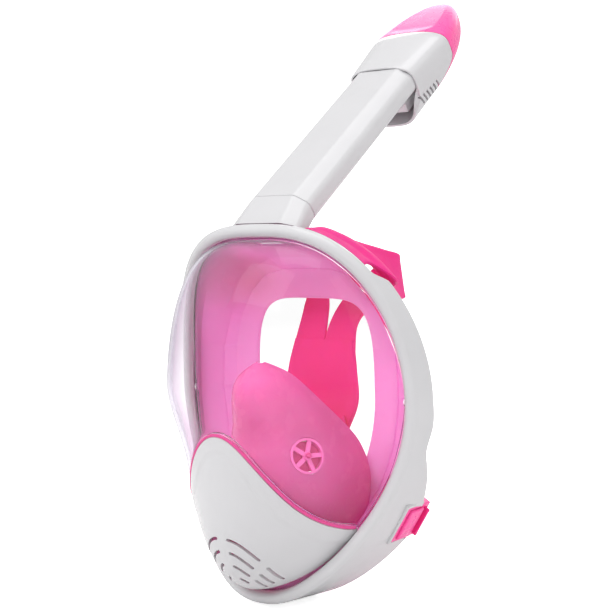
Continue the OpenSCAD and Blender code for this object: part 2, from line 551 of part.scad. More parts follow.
// Upper strap: its root follows the rim, then each row has a middle, a half width and a way the width runs
root_rows = [[51.5, 76.5, gate_low + 0.5], [51.5, 76.5, 14], [53, 75.5, 25]];
upper_path = [[48, -2, 94], [44.5, 26, 92], [42, 45, 86], [30, 39, 74], [18, 26, 59], [13, 15, 44], [pad_w / 2, 7.4, 23]];
upper_way = [[-0.7, 0, 0.7], [-0.4, 0.1, 0.9], [-0.2, 0.1, 0.97], [-0.5, 0, 0.86], [-0.95, 0, 0.3], [-1, 0, 0],
    [-1, 0, 0]];
upper_half = [strap_w + 9, strap_w + 3.2, strap_w, strap_w - 0.5, strap_w - 0.5, strap_w, pad_w / 2 - 3];
function upper_row(v) = concat([for (r = root_rows) rim_at(mix(r[0], r[1], v), strap_s, r[2])],
    [for (k = [0:len(upper_path) - 1]) upper_path[k] + (2 * v - 1) * upper_half[k] * unit(upper_way[k])]);
pad_path = [[0, 8, 29], [0, 5, -4], [0, 5, -30]];
pad_half = [pad_w - 3.4, pad_w, pad_w - 10];
pad_t = strap_t + 1.4;
pad_front = pad_path[1][1] - (pad_t + strap_t) / 2 - gap;
clip_way = clip_pt([0, 0, 1]) - clip_p;
lower_path = [[13, pad_front, -22], [16, pad_front, -36], [25, 3, -52], [46, 8, -67],
    clip_pt([-26, clip_back + 9, -1]), clip_pt([-clip_thick - 4, clip_back + 4.4, 0]),
    clip_pt([2, clip_back + 3, 0])];
lower_way = [[0.85, 0, 0.52], [0.8, 0, 0.6], [0.7, 0, 0.7], [0.5, 0, 0.86], clip_way, clip_way, clip_way];
lower_half = [9, 10, 11, 11, 10.5, 10.5, 10.5];
module ribbon(path, way, half, n, th = strap_t) sheet(function(u, v) along(path, u)
    + (2 * v - 1) * along([for (h = half) [h]], u)[0] * unit(along(way, u)), n, 2, th, th / 2, true);
module head_strap() color(HOT_PINK) difference() {
    union() {
        for (side = [-1, 1]) mirror([side < 0 ? 1 : 0, 0, 0])
            sheet(function(u, v) along(upper_row(v), u), 36, 6, strap_t, strap_t / 2, true);
        ribbon(pad_path, [[-1, 0, 0], [-1, 0, 0], [-1, 0, 0]], pad_half, 6, pad_t);
    }
    // blind hole for the stud
    for (side = [-1, 1]) mirror([side < 0 ? 1 : 0, 0, 0]) at_stud(tongue_s) cylinder(r = stud_r + 0.2, h = 2.8);
}
module lower_strap(side) color(HOT_PINK) mirror([side < 0 ? 1 : 0, 0, 0])
    ribbon(lower_path, lower_way, lower_half, 16);

mask_frame();
visor_lens();
clamp_ring();
face_skirt();
nose_pocket();
valve_seat(1);  // valve_seat_left
valve_seat(-1);  // valve_seat_right
inhale_flap(1);  // inhale_flap_left
inhale_flap(-1);  // inhale_flap_right
chin_cover();
chin_gasket();
drain_seat();
drain_flap();
snorkel_socket();
socket_gasket();
snorkel_tube();
dry_top_housing();
dry_top_cap();
top_seat();
float_block();
float_seal();
clip_body(1);  // clip_body_left
clip_body(-1);  // clip_body_right
clip_button(1);  // clip_button_left
clip_button(-1);  // clip_button_right
head_strap();
lower_strap(1);  // lower_strap_left
lower_strap(-1);  // lower_strap_right
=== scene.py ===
import math

import bmesh
import bpy
from bpy.props import FloatProperty, FloatVectorProperty, IntProperty, PointerProperty
from mathutils import Matrix, Vector


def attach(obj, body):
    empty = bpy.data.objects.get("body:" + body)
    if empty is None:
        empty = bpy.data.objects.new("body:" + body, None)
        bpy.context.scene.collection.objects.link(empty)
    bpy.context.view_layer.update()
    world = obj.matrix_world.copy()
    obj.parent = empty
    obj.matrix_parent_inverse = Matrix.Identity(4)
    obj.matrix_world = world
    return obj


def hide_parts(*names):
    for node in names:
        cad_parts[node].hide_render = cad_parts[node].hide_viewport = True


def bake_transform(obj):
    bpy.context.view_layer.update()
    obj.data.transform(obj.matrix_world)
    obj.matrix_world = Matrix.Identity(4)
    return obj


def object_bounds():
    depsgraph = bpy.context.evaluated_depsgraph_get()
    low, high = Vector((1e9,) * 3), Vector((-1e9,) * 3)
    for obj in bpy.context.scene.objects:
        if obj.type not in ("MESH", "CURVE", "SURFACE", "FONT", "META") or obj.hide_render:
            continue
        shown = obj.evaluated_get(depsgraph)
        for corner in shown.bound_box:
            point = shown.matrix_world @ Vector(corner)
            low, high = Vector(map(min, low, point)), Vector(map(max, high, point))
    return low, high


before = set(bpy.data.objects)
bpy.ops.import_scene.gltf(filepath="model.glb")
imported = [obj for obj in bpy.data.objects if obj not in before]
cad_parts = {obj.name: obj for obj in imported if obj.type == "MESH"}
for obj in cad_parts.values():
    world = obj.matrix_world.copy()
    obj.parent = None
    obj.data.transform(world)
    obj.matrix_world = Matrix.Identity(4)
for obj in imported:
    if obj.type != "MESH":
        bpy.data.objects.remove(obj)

bl_info = {
    "name": "Full face snorkel",
    "version": (1, 0, 0),
    "blender": (4, 5, 0),
    "location": "View3D > Sidebar > Snorkel",
    "description": "Window, frame, skirt, valves, dry-top tube, clips and straps of a full face snorkel",
    "category": "Mesh",
}

CAD_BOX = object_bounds()
MM = 0.001  # the formulas below work in millimetres


# ---- sizes and colours a user would change ----
def distance(label, millimetres, text):
    """A length shown in the panel, kept in metres."""
    return FloatProperty(
        name=label, description=text, default=millimetres * MM, min=0.0, unit="LENGTH", subtype="DISTANCE", precision=5
    )


def colour(label, rgb, text):
    """A colour shown in the panel."""
    return FloatVectorProperty(name=label, description=text, default=rgb, size=3, min=0.0, max=1.0, subtype="COLOR")


class MaskSizes(bpy.types.PropertyGroup):
    """Sizes of the mask"""

    rim_half_w: distance("Rim half width", 91, "Half width of the window at its rim")
    rim_top: distance("Rim top", 107, "Height of the rim's top above the middle of the face")
    rim_low: distance("Rim chin", 124.5, "Depth of the rim's chin below the middle of the face")
    rim_y0: distance("Rim forward", 38, "How far the rim lies in front of the face seal at mid height")
    side_sweep: distance("Side sweep", 8, "Sweep of the rim back to the temples")
    top_forward: distance("Top forward", 25.7, "How far the rim's top reaches forward")
    chin_forward: distance("Chin forward", 31.2, "How far the rim's chin reaches forward")
    dome_y: distance("Dome", 108, "How far the dome reaches in front of the face seal")
    lens_wall: distance("Window wall", 2, "Wall of the clear window")
    cover_wall: distance("Cover wall", 2.4, "Wall of the chin cover")
    peak_z: distance("Cover peak", 16, "How far the chin cover's peak lies below the middle of the face")
    cover_half_w: distance("Cover half width", 63, "Half width of the chin cover where it meets the rim")
    slot_w: distance("Slot width", 2.6, "Width of one exhaust slot")
    slot_pitch: distance("Slot pitch", 9, "Pitch of the exhaust slots")
    bead_w: distance("Bead width", 9.6, "Width of the frame's bead beside the window")
    frame_wall: distance("Frame wall", 2.6, "Wall of the frame")
    depth_top: distance("Depth at top", 15, "Depth of the frame's side wall at the top")
    depth_side: distance("Depth at side", 16.5, "Depth of the frame's side wall at the temples")
    depth_jaw: distance("Depth at jaw", 45, "Depth of the frame's side wall at the jaw")
    face_half_w: distance("Face half width", 50, "Half width of the face opening")
    face_top: distance("Face top", 66, "Height of the face opening's top")
    face_low: distance("Face chin", 96, "Depth of the face opening's chin")
    skin: distance("Silicone wall", 2.2, "Wall of the silicone")
    wheel_r: distance("Inhale valve", 12, "Outer radius of an inhale valve")
    drain_r: distance("Drain valve", 14, "Outer radius of the chin drain valve")
    clip_w: distance("Clip width", 28, "Width of a quick-release clip")
    chin_taper: FloatProperty(
        name="Chin taper", description="Narrowing of the rim towards the chin", default=0.24, min=0.0, max=0.5
    )
    spokes: IntProperty(name="Spokes", description="Spokes of an inhale valve", default=5, min=3, max=12)


class SnorkelSizes(bpy.types.PropertyGroup):
    """Sizes of the tube, its dry top and the straps"""

    tube_w: distance("Tube half width", 26.5, "Half width of the tube")
    tube_t: distance("Tube half depth", 12.5, "Half depth of the tube")
    tube_flat: distance("Tube flat", 16.5, "Half width of the tube's flat front")
    tube_len: distance("Tube length", 155.5, "Length of the tube from its seam to the dry top's lip")
    tube_wall: distance("Tube wall", 2.2, "Wall of the tube")
    plug_len: distance("Plug length", 9.5, "Length of the tube's plug in its socket")
    head_len: distance("Head length", 49.5, "Length of the head from its lip to the cap, along its front")
    cap_len: distance("Cap length", 58.5, "Length of the cap, along its front")
    head_w: distance("Head half width", 33.5, "Half width of the head where the cap begins")
    head_t: distance("Head half depth", 15, "Half depth of the head's flat front where the cap begins")
    hump_t: distance("Hump", 32, "Reach of the rear hump behind the tube's axis, at its mouth")
    hump_top_t: distance("Hump top", 27.5, "Reach of the rear hump where the cap begins")
    vent_pitch: distance("Vent pitch", 4.6, "Pitch of the vents in the hump's sides")
    strap_t: distance("Strap", 2.2, "Thickness of the straps")
    strap_w: distance("Strap half width", 11.5, "Half width of an upper strap at its narrowest")
    pad_w: distance("Pad half width", 30, "Half width of the pad behind the head")
    lean: FloatProperty(
        name="Lean", description="Lean of the tube back from the vertical", default=math.radians(54.3), subtype="ANGLE"
    )
    vents: IntProperty(name="Vents", description="Vents in each side of the hump", default=6, min=1, max=10)


class MaskColours(bpy.types.PropertyGroup):
    """Colours of the materials"""

    shell: colour("Shell", (0.61, 0.605, 0.62), "White glossy plastic of frame, cover, tube and head")
    inner: colour("Inner plastic", (0.80, 0.78, 0.80), "Satin plastic behind the window")
    window: colour("Window", (1.0, 1.0, 1.0), "Clear polycarbonate")
    silicone: colour("Skirt silicone", (1.0, 0.5, 0.79), "Translucent silicone of the skirt")
    pocket: colour("Pocket silicone", (1.0, 0.22, 0.58), "Translucent silicone of the nose pocket")
    accent: colour("Accent", (1.0, 0.08, 0.37), "Glossy coloured plastic of cap and clips")
    strap: colour("Straps", (1.0, 0.05, 0.33), "Soft silicone of the straps")
    seal: colour("Seals", (0.86, 0.10, 0.34), "Soft silicone of gaskets and flaps")
    valve: colour("Valve", (1.0, 0.19, 0.55), "Moulded plastic of the inhale valves")


class Form:
    """The sizes in millimetres, and the angles in degrees, as last read from the panel."""


form = Form()


def read_sizes():
    """Copy the panel's sizes into form."""
    scene = bpy.context.scene
    for group in (scene.mask_sizes, scene.snorkel_sizes):
        for name, prop in group.bl_rna.properties.items():
            if name in ("rna_type", "name"):
                continue
            value = getattr(group, name)
            if prop.subtype == "DISTANCE":
                value /= MM
            elif prop.subtype == "ANGLE":
                value = math.degrees(value)
            setattr(form, name, value)


# ---- numbers of the shape that stay as they are: millimetres, and degrees round the rim from the left temple ----
GAP = 0.3  # clearance between pieces that seat on each other
TUCK = 3.8  # how far the dome's edge lies behind the rim
LIP = 5.4  # width of the window's flange and of what clamps it
DOME_MID = -30  # height at which the dome reaches furthest forward
KEEL_TOP = 12  # height below which the dome is drawn to a keel
KEEL_RUN = 62  # height over which the keel comes in
SIDE_REACH = 88.5  # angle to which the window's grid runs round the dome
SLOT_Z = -82.8  # height of the first row of exhaust slots
SLOT_ROWS = 4
SLOT_START = 3.4  # distance of a slot's inner end from the middle
SLOT_DEPTH = 70  # how far the tool that cuts the slots reaches
SLOT_SHARE = 0.8  # share of its width that a slot shows
NOTCH_AT = 13  # angle of the frame's notch below the temples
CLIP_T = 323.5  # angle of the left clip
CLIP_BACK = 1  # how far a clip's back stands behind the frame
CLIP_DEEP = 18  # how deep a clip sits in the frame
CLIP_THICK = 6.4
FACE_Y = -3  # how far the face opening lies in front of the seal
PORT_HALF = 12  # half width of the skirt's air port
POCKET_TOP = 20
POCKET_LOW = -104
POCKET_PATH = (  # height, half width, rear edge and front, from peak to chin
    (0, 4, -44, -48), (0.12, 20, -34, -57), (0.28, 32, -20, -67), (0.44, 41, -10, -78),
    (0.60, 45, -6.4, -85), (0.78, 42, -7, -87), (0.92, 33, -13.6, -82), (1, 24, -23, -74),
)
POCKET_START = 0.004  # the pocket's sheet begins just below its closed peak
WHEEL_UV = (0.78, 0.43)  # places of the valves on the pocket
DRAIN_UV = (0.5, 0.83)
SEAT_H = 6  # height of an inhale valve's seat
DRAIN_SEAT_H = 5
FLAP_INSET = 2.2  # how much smaller a flap is than its seat
SEAM_Y = -34.8  # depth of the middle of the seam between tube and socket
FOOT_W = 29  # half width of the socket's foot
PLUG_IN = 3.5  # how much smaller the tube's plug is than the tube
DIVIDER = 9.5  # distance of the tube's inner walls from its middle
PART_DROP = 25  # drop of the line between head and cap, from front to rear
LIP_DROP = 8  # drop of the head's lower edge, from front to rear
LIP_GROW = 1.8  # how much wider the head's lip is than the tube
HEAD_WALL = 2
HEAD_LAP = 26  # how far the tube reaches into the head
FLOAT_W, FLOAT_T, FLOAT_H, FLOAT_TRAVEL = 30, 9.5, 18, 11
STRAP_GATE = (47.5, 80.5)  # angles between which the side wall drops to the bead, for the upper straps
GATE_LOW = 5  # depth of the side wall there
TONGUE = (58, 75)  # angles between which a strap's tongue stands
TONGUE_S = 5.9  # how far outside the rim it lies
TONGUE_W = 1.3
TONGUE_END = 24
STUD_T = 67  # angle of the stud on it
STUD_R = 3.2
STRAP_ROOT = (  # angles between which a strap's root lies, and how far behind the rim
    (51.5, 76.5, GATE_LOW + 0.5), (51.5, 76.5, 14), (43.5, 75.5, 26),
)
TABS = (63, 99, 135, 171, 189, 225, 261, 297)  # angles of the clamp ring's tabs, from the top
FACETS = (  # corners of the skirt's facets
    0, 14, 34, 52, 68, 82, 98, 112, 128, 146, 166, 180, 197, 214, 232, 250, 270, 290, 308, 326, 343, 360,
)
# u and v across the wall, shift back, and how flat the panels are: from the rim to the face opening, and back outside
SKIRT_FRONT = (
    (0.10, 0.30, 0, 0.4), (0.19, 0.52, 0, 0.75), (0.28, 0.70, 0, 0.9), (0.295, 0.715, 1.1, 0.9), (0.39, 0.83, 0.9, 0.8),
    (0.50, 0.94, 0.6, 0.6), (0.515, 0.95, -0.5, 0.55), (0.64, 0.985, -0.7, 0.3), (0.78, 1, -0.6, 0.1),
    (0.9, 1, -0.5, 0), (0.97, 1, 0, 0), (1, 1, 0.7, 0),
)
SKIRT_BACK = (
    (1.0, 1, -0.8, 0), (0.99, 1, -0.1, 0), (0.9, 1, 0, 0), (0.78, 1, 0, 0), (0.66, 1, 0, 0), (0.635, 1, 1.0, 0),
    (0.61, 1, 3.2, 0), (0.585, 1, 3.8, 0), (0.56, 1, 3.2, 0), (0.53, 0.99, 1.2, 0.2), (0.47, 0.95, 0, 0.4),
    (0.35, 0.85, 0, 0.7), (0.235, 0.74, 0, 0.8), (0.13, 0.52, 0, 0.5), (0.05, 0.34, 0, 0.2),
)

# ---- studio, in metres, degrees and watts ----
CAMERA_AZIMUTH, CAMERA_ELEVATION, CAMERA_ROLL = 36.229, 7.553, 1.4
CAMERA_AWAY = 0.94
CAMERA_MIDDLE = (0, 0.024, 0)
CAMERA_AIM = (-0.02394, 0.06015)  # turn of the view to the right and up
FOCAL_LENGTH, SENSOR_WIDTH = 77.65, 36
LAMP_MIDDLE = (0, 0.04, 0.06)
LAMPS = (  # name, azimuth, elevation, distance, size, power
    ("key", -15, 42, 1.5, (1.1, 0.8), 9),
    ("side", 100, 30, 1.5, (0.8, 1.2), 3.5),
    ("back", 200, 35, 1.6, (1.2, 0.8), 5),
    ("top", 30, 85, 1.4, (1.0, 1.0), 4.5),
)
LAMPS_IN_GLOSS = ("back", "top")
AIR_GLOW = 0.76
FLOOR_GLOW = 0.78
FLOOR_GLOW_IN_GLASS = 0.35


# ---- small maths ----
def cosd(a):
    return math.cos(math.radians(a))


def sind(a):
    return math.sin(math.radians(a))


def sgn(v):
    return -1 if v < 0 else 1


def mix(a, b, u):
    return a + (b - a) * u


def clamp(u):
    return min(1, max(0, u))


def ease(u):
    w = clamp(u)
    return w * w * (3 - 2 * w)


def along(pts, u):
    """Smooth curve through the values pts, u from 0 to 1."""
    n = len(pts) - 1
    w = clamp(u) * n
    i = min(n - 1, int(w))
    f = w - i
    p1, p2 = pts[i], pts[i + 1]
    p0 = pts[i - 1] if i > 0 else p1 * 2 - p2
    p3 = pts[i + 2] if i < n - 1 else p2 * 2 - p1
    square = (p0 * 2 - p1 * 5 + p2 * 4 - p3) * (f * f)
    cube = (p1 * 3 - p2 * 3 + p3 - p0) * f**3
    return (p1 * 2 + (p2 - p0) * f + square + cube) * 0.5


def direction(azimuth, elevation):
    """Unit vector from the middle, azimuth from the front towards the left."""
    return Vector((sind(azimuth) * cosd(elevation), -cosd(azimuth) * cosd(elevation), sind(elevation)))


def facing(f, u, v, e=0.004):
    """Outward normal of a surface f(u, v)."""
    a = f(min(1, u + e), v) - f(max(0, u - e), v)
    b = f(u, min(1, v + e)) - f(u, max(0, v - e))
    return a.cross(b).normalized()


def rounded(corners, steps=4):
    """Closed outline of the corners (a, b, radius), each turned by an arc of steps points."""
    out = []
    n = len(corners)
    for i, (x, y, r) in enumerate(corners):
        p = Vector((x, y))
        u = Vector(corners[i - 1][:2]) - p
        w = Vector(corners[(i + 1) % n][:2]) - p
        reach = min(r, 0.48 * u.length, 0.48 * w.length)
        a, b = p + u.normalized() * reach, p + w.normalized() * reach
        for k in range(steps + 1):
            t = k / steps
            out.append(a * (1 - t) ** 2 + p * (2 * t * (1 - t)) + b * t * t)
    return out


# ---- the window's rim ----
def rim_xz(t):
    c, s = cosd(t), sind(t)
    if s >= 0:
        return Vector((form.rim_half_w * sgn(c) * abs(c) ** 0.69, form.rim_top * s))
    return Vector((form.rim_half_w * (1 - form.chin_taper * s * s) * sgn(c) * abs(c) ** 0.89, form.rim_low * s))


def rim_n(t):
    d = rim_xz(t + 1) - rim_xz(t - 1)
    return Vector((d.y, -d.x)).normalized()


def rim_y(x, z):
    v = z / (form.rim_top if z >= 0 else form.rim_low)
    ahead = form.top_forward if z >= 0 else form.chin_forward
    return -form.rim_y0 + form.side_sweep * (x / form.rim_half_w) ** 2 - ahead * v * v


def rim_at(t, s, d):
    """A point s outside the rim and d behind it."""
    p, n = rim_xz(t), rim_n(t)
    return Vector((p.x + s * n.x, rim_y(p.x, p.y) + d, p.y + s * n.y))


def rim_w(z):
    """Half width of the rim at height z."""
    v = clamp(abs(z) / (form.rim_top if z >= 0 else form.rim_low))
    c = math.sqrt(1 - v * v)
    return form.rim_half_w * (c**0.69 if z >= 0 else (1 - form.chin_taper * v * v) * c**0.89)


def rim_z_top(x):
    c = clamp(abs(x) / form.rim_half_w) ** (1 / 0.69)
    return form.rim_top * math.sqrt(1 - c * c)


def rim_z_low(x):
    lo, hi = 0.0, 1.0
    for _ in range(22):
        m = (lo + hi) / 2
        if rim_w(-form.rim_low * m) > abs(x):
            lo = m
        else:
            hi = m
    return -form.rim_low * (lo + hi) / 2


# ---- the dome of window and chin cover ----
def centre_y(z):
    up = z >= DOME_MID
    edge = rim_y(0, form.rim_top if up else -form.rim_low) + TUCK
    q = clamp((z - DOME_MID) / (form.rim_top - DOME_MID) if up else (DOME_MID - z) / (form.rim_low + DOME_MID))
    return edge + (-form.dome_y - edge) * math.sqrt(1 - q ** (2.4 if up else 3.8))


def dome_at(x, z):
    w = max(0.5, rim_w(z))
    q = min(1, abs(x) / w)
    edge = rim_y(w, z) + TUCK
    # round across the brow, drawn to a keel towards the chin
    bulge = mix(math.sqrt(1 - q * q), 1 - q * q, ease((KEEL_TOP - z) / KEEL_RUN))
    return Vector((x, edge + (centre_y(z) - edge) * bulge, z))


def join_z(x):
    """The S-shaped line between window and chin cover."""
    q = clamp(abs(x) / form.cover_half_w)
    if not hasattr(form, "rim_join_z"):
        form.rim_join_z = rim_z_low(form.cover_half_w) + 2.4
    return mix(-form.peak_z, form.rim_join_z, 0.9 * ease(q**1.12) + 0.1 * q * q)


def join_gap(x):
    return 1.3 * math.hypot(1, join_z(x + 0.5) - join_z(x - 0.5))


def lens_srf(u, v):
    x = form.rim_half_w * sind(mix(-SIDE_REACH, SIDE_REACH, u))
    low = join_z(x) + join_gap(x) if abs(x) < form.cover_half_w else rim_z_low(x)
    return dome_at(x, mix(low, rim_z_top(x) - 0.3, (1 - cosd(180 * v)) / 2))


def cover_srf(u, v):
    x = form.cover_half_w * sind(mix(-90, 90, u))
    top = join_z(x) - join_gap(x)
    slit = 0.4 + 2.6 * max(0, 1 - (x / (0.73 * form.cover_half_w)) ** 2)
    low = max(min(rim_z_low(x) + slit, top - 0.8), -form.rim_low + slit)
    return dome_at(x, mix(low, top, (1 - cosd(180 * v)) / 2))


# ---- frame ----
def below(t):
    """Angle round the rim below the horizontal, 0 at the temples and 90 at the chin."""
    w = t % 360
    return 90 - abs(w - 270) if w > 180 else 0


def notch(t):
    return math.exp(-(((below(t) - NOTCH_AT) / 5) ** 2))


def gate(t):
    """1 where an upper strap comes out of the frame."""
    w = t % 360
    w = 0 if w > 180 else min(w, 180 - w)
    return ease((w - STRAP_GATE[0] + 5) / 5) * ease((STRAP_GATE[1] + 4 - w) / 4)


def frame_depth(t):
    s = sind(t)
    if s >= 0:
        return mix(mix(form.depth_side, form.depth_top, s), GATE_LOW, gate(t))
    return mix(form.depth_side, form.depth_jaw, ease((below(t) - 12) / 33)) - 2.5 * notch(t)


def frame_flare(t):
    s = sind(t)
    if s >= 0:
        return mix(form.bead_w + 3, form.bead_w, ease(s))
    return form.bead_w + 3 + 4 * sind(180 * min(1, -s)) - 2 * notch(t)


def frame_section(t):
    f, d, w, b = frame_flare(t), frame_depth(t), form.frame_wall, form.bead_w
    return rounded([
        (0.7, 1.4, 0.4), (1.5, -1.5, 1.6), (4.4, -3.4, 2.6), (7.4, -2.6, 2.4), (b - 0.4, -0.4, 1.6), (b, 2, 2.2),
        (f, d, 0.9), (f - w, d, 0.9), (b - w - 0.2, 4, 1.2), (6.2, 2.6, 0.6), (0.8, 2.6, 0.4),
    ])


def clip_frame(side):
    """Middle of a clip in the frame's lower side, with X out of the wall, Y back and Z up along the rim."""
    n = rim_n(CLIP_T)
    p = rim_at(CLIP_T, frame_flare(CLIP_T) - 0.2, frame_depth(CLIP_T))
    m = Matrix.Translation(p) @ Matrix.Rotation(math.atan2(-n.y, n.x), 4, "Y")
    return Matrix.Diagonal((side, 1, 1, 1)) @ m


def stud_frame(side, s):
    """The stud on a strap's tongue, s outside the rim, with Z out of the wall."""
    n = rim_n(STUD_T)
    m = Matrix.Translation(rim_at(STUD_T, s, TONGUE_END - 7)) @ Matrix.Rotation(math.atan2(n.x, n.y), 4, "Y")
    return Matrix.Diagonal((side, 1, 1, 1)) @ m


# ---- skirt and pocket ----
def face_xz(t):
    c, s = cosd(t), sind(t)
    if s >= 0:
        return Vector((form.face_half_w * sgn(c) * abs(c) ** 0.42, (form.face_top - 2) * s**0.55))
    return Vector((form.face_half_w * (1 - 0.34 * s * s) * c, form.face_low * s))


def skirt_at(t, u, v, d=0.0):
    """A point u of the way from the rim to the face opening, and v of the way back."""
    q = rim_xz(t)
    p = q.lerp(face_xz(t), u)
    return Vector((p.x, mix(rim_y(q.x, q.y) + 6, FACE_Y, v) + d, p.y))


def pocket_srf(u, v):
    z, half, rear, front = along([Vector(p) for p in POCKET_PATH], v)
    a = mix(-90, 90, u)
    return Vector((half * sind(a), rear + (front - rear) * max(0, cosd(a)) ** 0.9, mix(POCKET_TOP, POCKET_LOW, z)))


def pouch(u, v):
    """The pocket as it shows: its peak is round and leans towards the window."""
    z, half, rear, front = along([Vector(p) for p in POCKET_PATH], v)
    lean = ease((0.42 - z) / 0.36)
    half, rear, front = half + 3 * lean, rear - 13 * lean, front - 20 * lean
    k = math.sqrt(1 - (1 - clamp(v / 0.09)) ** 2)
    middle = (rear + front) / 2
    half, rear, front = half * k, mix(middle, rear, k), mix(middle, front, k)
    a = mix(-90, 90, u)
    y = rear + (front - rear) * max(0, cosd(a)) ** 0.9
    return Vector((half * sind(a), y, mix(POCKET_TOP, POCKET_LOW, z) + 4 * lean * lean))


def look_along(p, n):
    """Frame at p whose Z runs along n."""
    turn = Matrix.Rotation(math.atan2(n.y, n.x), 4, "Z") @ Matrix.Rotation(math.acos(n.z), 4, "Y")
    return Matrix.Translation(p) @ turn


def wheel_frame(side):
    return Matrix.Diagonal((side, 1, 1, 1)) @ look_along(pocket_srf(*WHEEL_UV), -facing(pocket_srf, *WHEEL_UV))


def drain_frame():
    """The drain flap lies outside its seat, so its Z points into the pocket."""
    m = look_along(pocket_srf(*DRAIN_UV), -facing(pocket_srf, *DRAIN_UV))
    return m @ Matrix.Translation((0, 0, 1.4)) @ Matrix.Diagonal((1, 1, -1, 1))


# ---- snorkel ----
def tube_frame():
    seam = Vector((0, SEAM_Y, form.rim_top + 17.8))
    return Matrix.Translation(seam) @ Matrix.Rotation(math.radians(-form.lean), 4, "X")


def tube_sec(grow, steps=5):
    """The tube's outline: an octagon with rounded corners, its flat front at -Y."""
    w, t, f, k = form.tube_w, form.tube_t, form.tube_flat, 0.41 * grow
    q = [(f + k, -t - grow), (w + grow, -t * 0.43 - k), (w + grow, t * 0.43 + k), (f + k, t + grow)]
    q += [(-x, y) for x, y in reversed(q)]
    radius = max(1, 6 + grow)
    out = []
    for i, (x, y) in enumerate(q):
        p = Vector((x, y))
        a = (Vector(q[i - 1]) - p).normalized()
        b = (Vector(q[(i + 1) % 8]) - p).normalized()
        half = math.acos(a.dot(b)) / 2
        centre = p + (a + b).normalized() * radius / math.sin(half)
        start = p + a * radius / math.tan(half) - centre
        end = p + b * radius / math.tan(half) - centre
        way = sgn(start.x * end.y - start.y * end.x)
        for k2 in range(steps + 1):
            r = Matrix.Rotation(way * (math.pi - 2 * half) * k2 / steps, 2)
            out.append(centre + r @ start)
    return out


def foot_ring(grow):
    """Foot of the socket on the frame's top."""
    front = Vector((rim_y(0, form.rim_top) + 4.2, form.rim_top + form.bead_w + 0.4))
    rear = Vector((-39.4, form.rim_top))
    out = []
    for p in tube_sec(grow):
        yz = front.lerp(rear, (p.y / form.tube_t + 1) / 2)
        out.append(Vector((p.x * FOOT_W / form.tube_w, yz.x, yz.y)))
    return out


def head_xy(a, grow, u):
    """Head outline at angle a, u of the way from the lip to the cap: flat front, rounded hump behind."""
    c, s = cosd(a), sind(a)
    w = mix(form.tube_w + LIP_GROW, form.head_w, u) + grow
    front = mix(form.tube_t + LIP_GROW, form.head_t, u) + grow
    back = mix(form.hump_t, form.hump_top_t, u) + grow
    return Vector((w * sgn(c) * abs(c) ** (0.78 if s < 0 else 0.62), -front * (-s) ** 0.62 if s < 0 else back * s**0.9))


def hump(a):
    """How much of the hump an angle lies in: 0 at front and sides, 1 behind."""
    return ease((sind(a) - 0.35) / 0.35)


def low_at(a):
    return form.tube_len - LIP_DROP * hump(a)


def part_at(a):
    return form.tube_len + form.head_len - PART_DROP * ease((sind(a) - 0.2) / 0.7)


def head_at(a, grow, u, d=0.0):
    p = head_xy(a, grow, u)
    return Vector((p.x, p.y, mix(low_at(a), part_at(a), u) + d))


def neck_at(a, grow, z):
    """The tube's own outline seen at the head's angle."""
    c, s = cosd(a), sind(a)
    w, t = form.tube_w + grow, form.tube_t + grow
    return Vector((w * sgn(c) * abs(c) ** 0.78, t * sgn(s) * abs(s) ** 0.62, z))


def cap_at(a, u, grow):
    """Cap: a pointed arch seen from the front."""
    p = head_xy(a, grow, 1)
    k = max(0, 1 - u**1.3) ** 0.45
    back = max(0, 1 - u**3) ** 0.79
    y = p.y * (mix(k, 1, 0.3) if p.y < 0 else back)
    return Vector((p.x * k, y, mix(part_at(a), form.tube_len + form.head_len + form.cap_len, u)))


# ---- mesh helpers ----
def mesh_piece(name, points, faces):
    """A new object from points in millimetres, its faces turned outwards."""
    mesh = bpy.data.meshes.new(name)
    mesh.from_pydata([p * MM for p in points], [], faces)
    bm = bmesh.new()
    bm.from_mesh(mesh)
    bmesh.ops.recalc_face_normals(bm, faces=bm.faces)
    bm.to_mesh(mesh)
    bm.free()
    obj = bpy.data.objects.new(name, mesh)
    bpy.context.scene.collection.objects.link(obj)
    return obj


def grid_faces(n, m, around=False):
    """Quads between n rings of m points; around joins the last ring to the first."""
    rows = n if around else n - 1
    return [
        (i * m + j, i * m + (j + 1) % m, (i + 1) % n * m + (j + 1) % m, (i + 1) % n * m + j)
        for i in range(rows) for j in range(m)
    ]


def ring_piece(name, rows):
    """Solid from a closed loop of closed outlines."""
    return mesh_piece(name, [p for r in rows for p in r], grid_faces(len(rows), len(rows[0]), True))


def rod_piece(name, rows):
    """Solid from an open run of closed outlines, its two ends capped."""
    m = len(rows[0])
    last = (len(rows) - 1) * m
    faces = grid_faces(len(rows), m) + [tuple(range(m)), tuple(range(last + m - 1, last - 1, -1))]
    return mesh_piece(name, [p for r in rows for p in r], faces)


def sheet_piece(name, f, nu, nv, wall, lift=None, edge=1):
    """Sheet under the surface f(u, v), with edges rolled over by edge rows; wall and lift may be functions of u, v."""
    get = lambda value, u, v: value(u, v) if callable(value) else value
    rows = []
    for i in range(nu + 1):
        u = i / nu
        line = [(f(u, j / nv), facing(f, u, j / nv), u, j / nv) for j in range(nv + 1)]
        outer = [p + n * get(lift or 0, a, b) for p, n, a, b in line]
        inner = [p + n * (get(lift or 0, a, b) - get(wall, a, b)) for p, n, a, b in reversed(line)]
        roll = []
        if edge > 1:
            for a, b, way in (
                (outer[-1], inner[0], outer[-1] - outer[-2]), (inner[-1], outer[0], outer[0] - outer[1])
            ):
                out = way.normalized() * (a - b).length * 0.32
                roll.append([a.lerp(b, k / edge) + out * sind(180 * k / edge) for k in range(1, edge)])
        rows.append(outer + (roll[0] if roll else []) + inner + (roll[1] if roll else []))
    return rod_strip(name, rows)


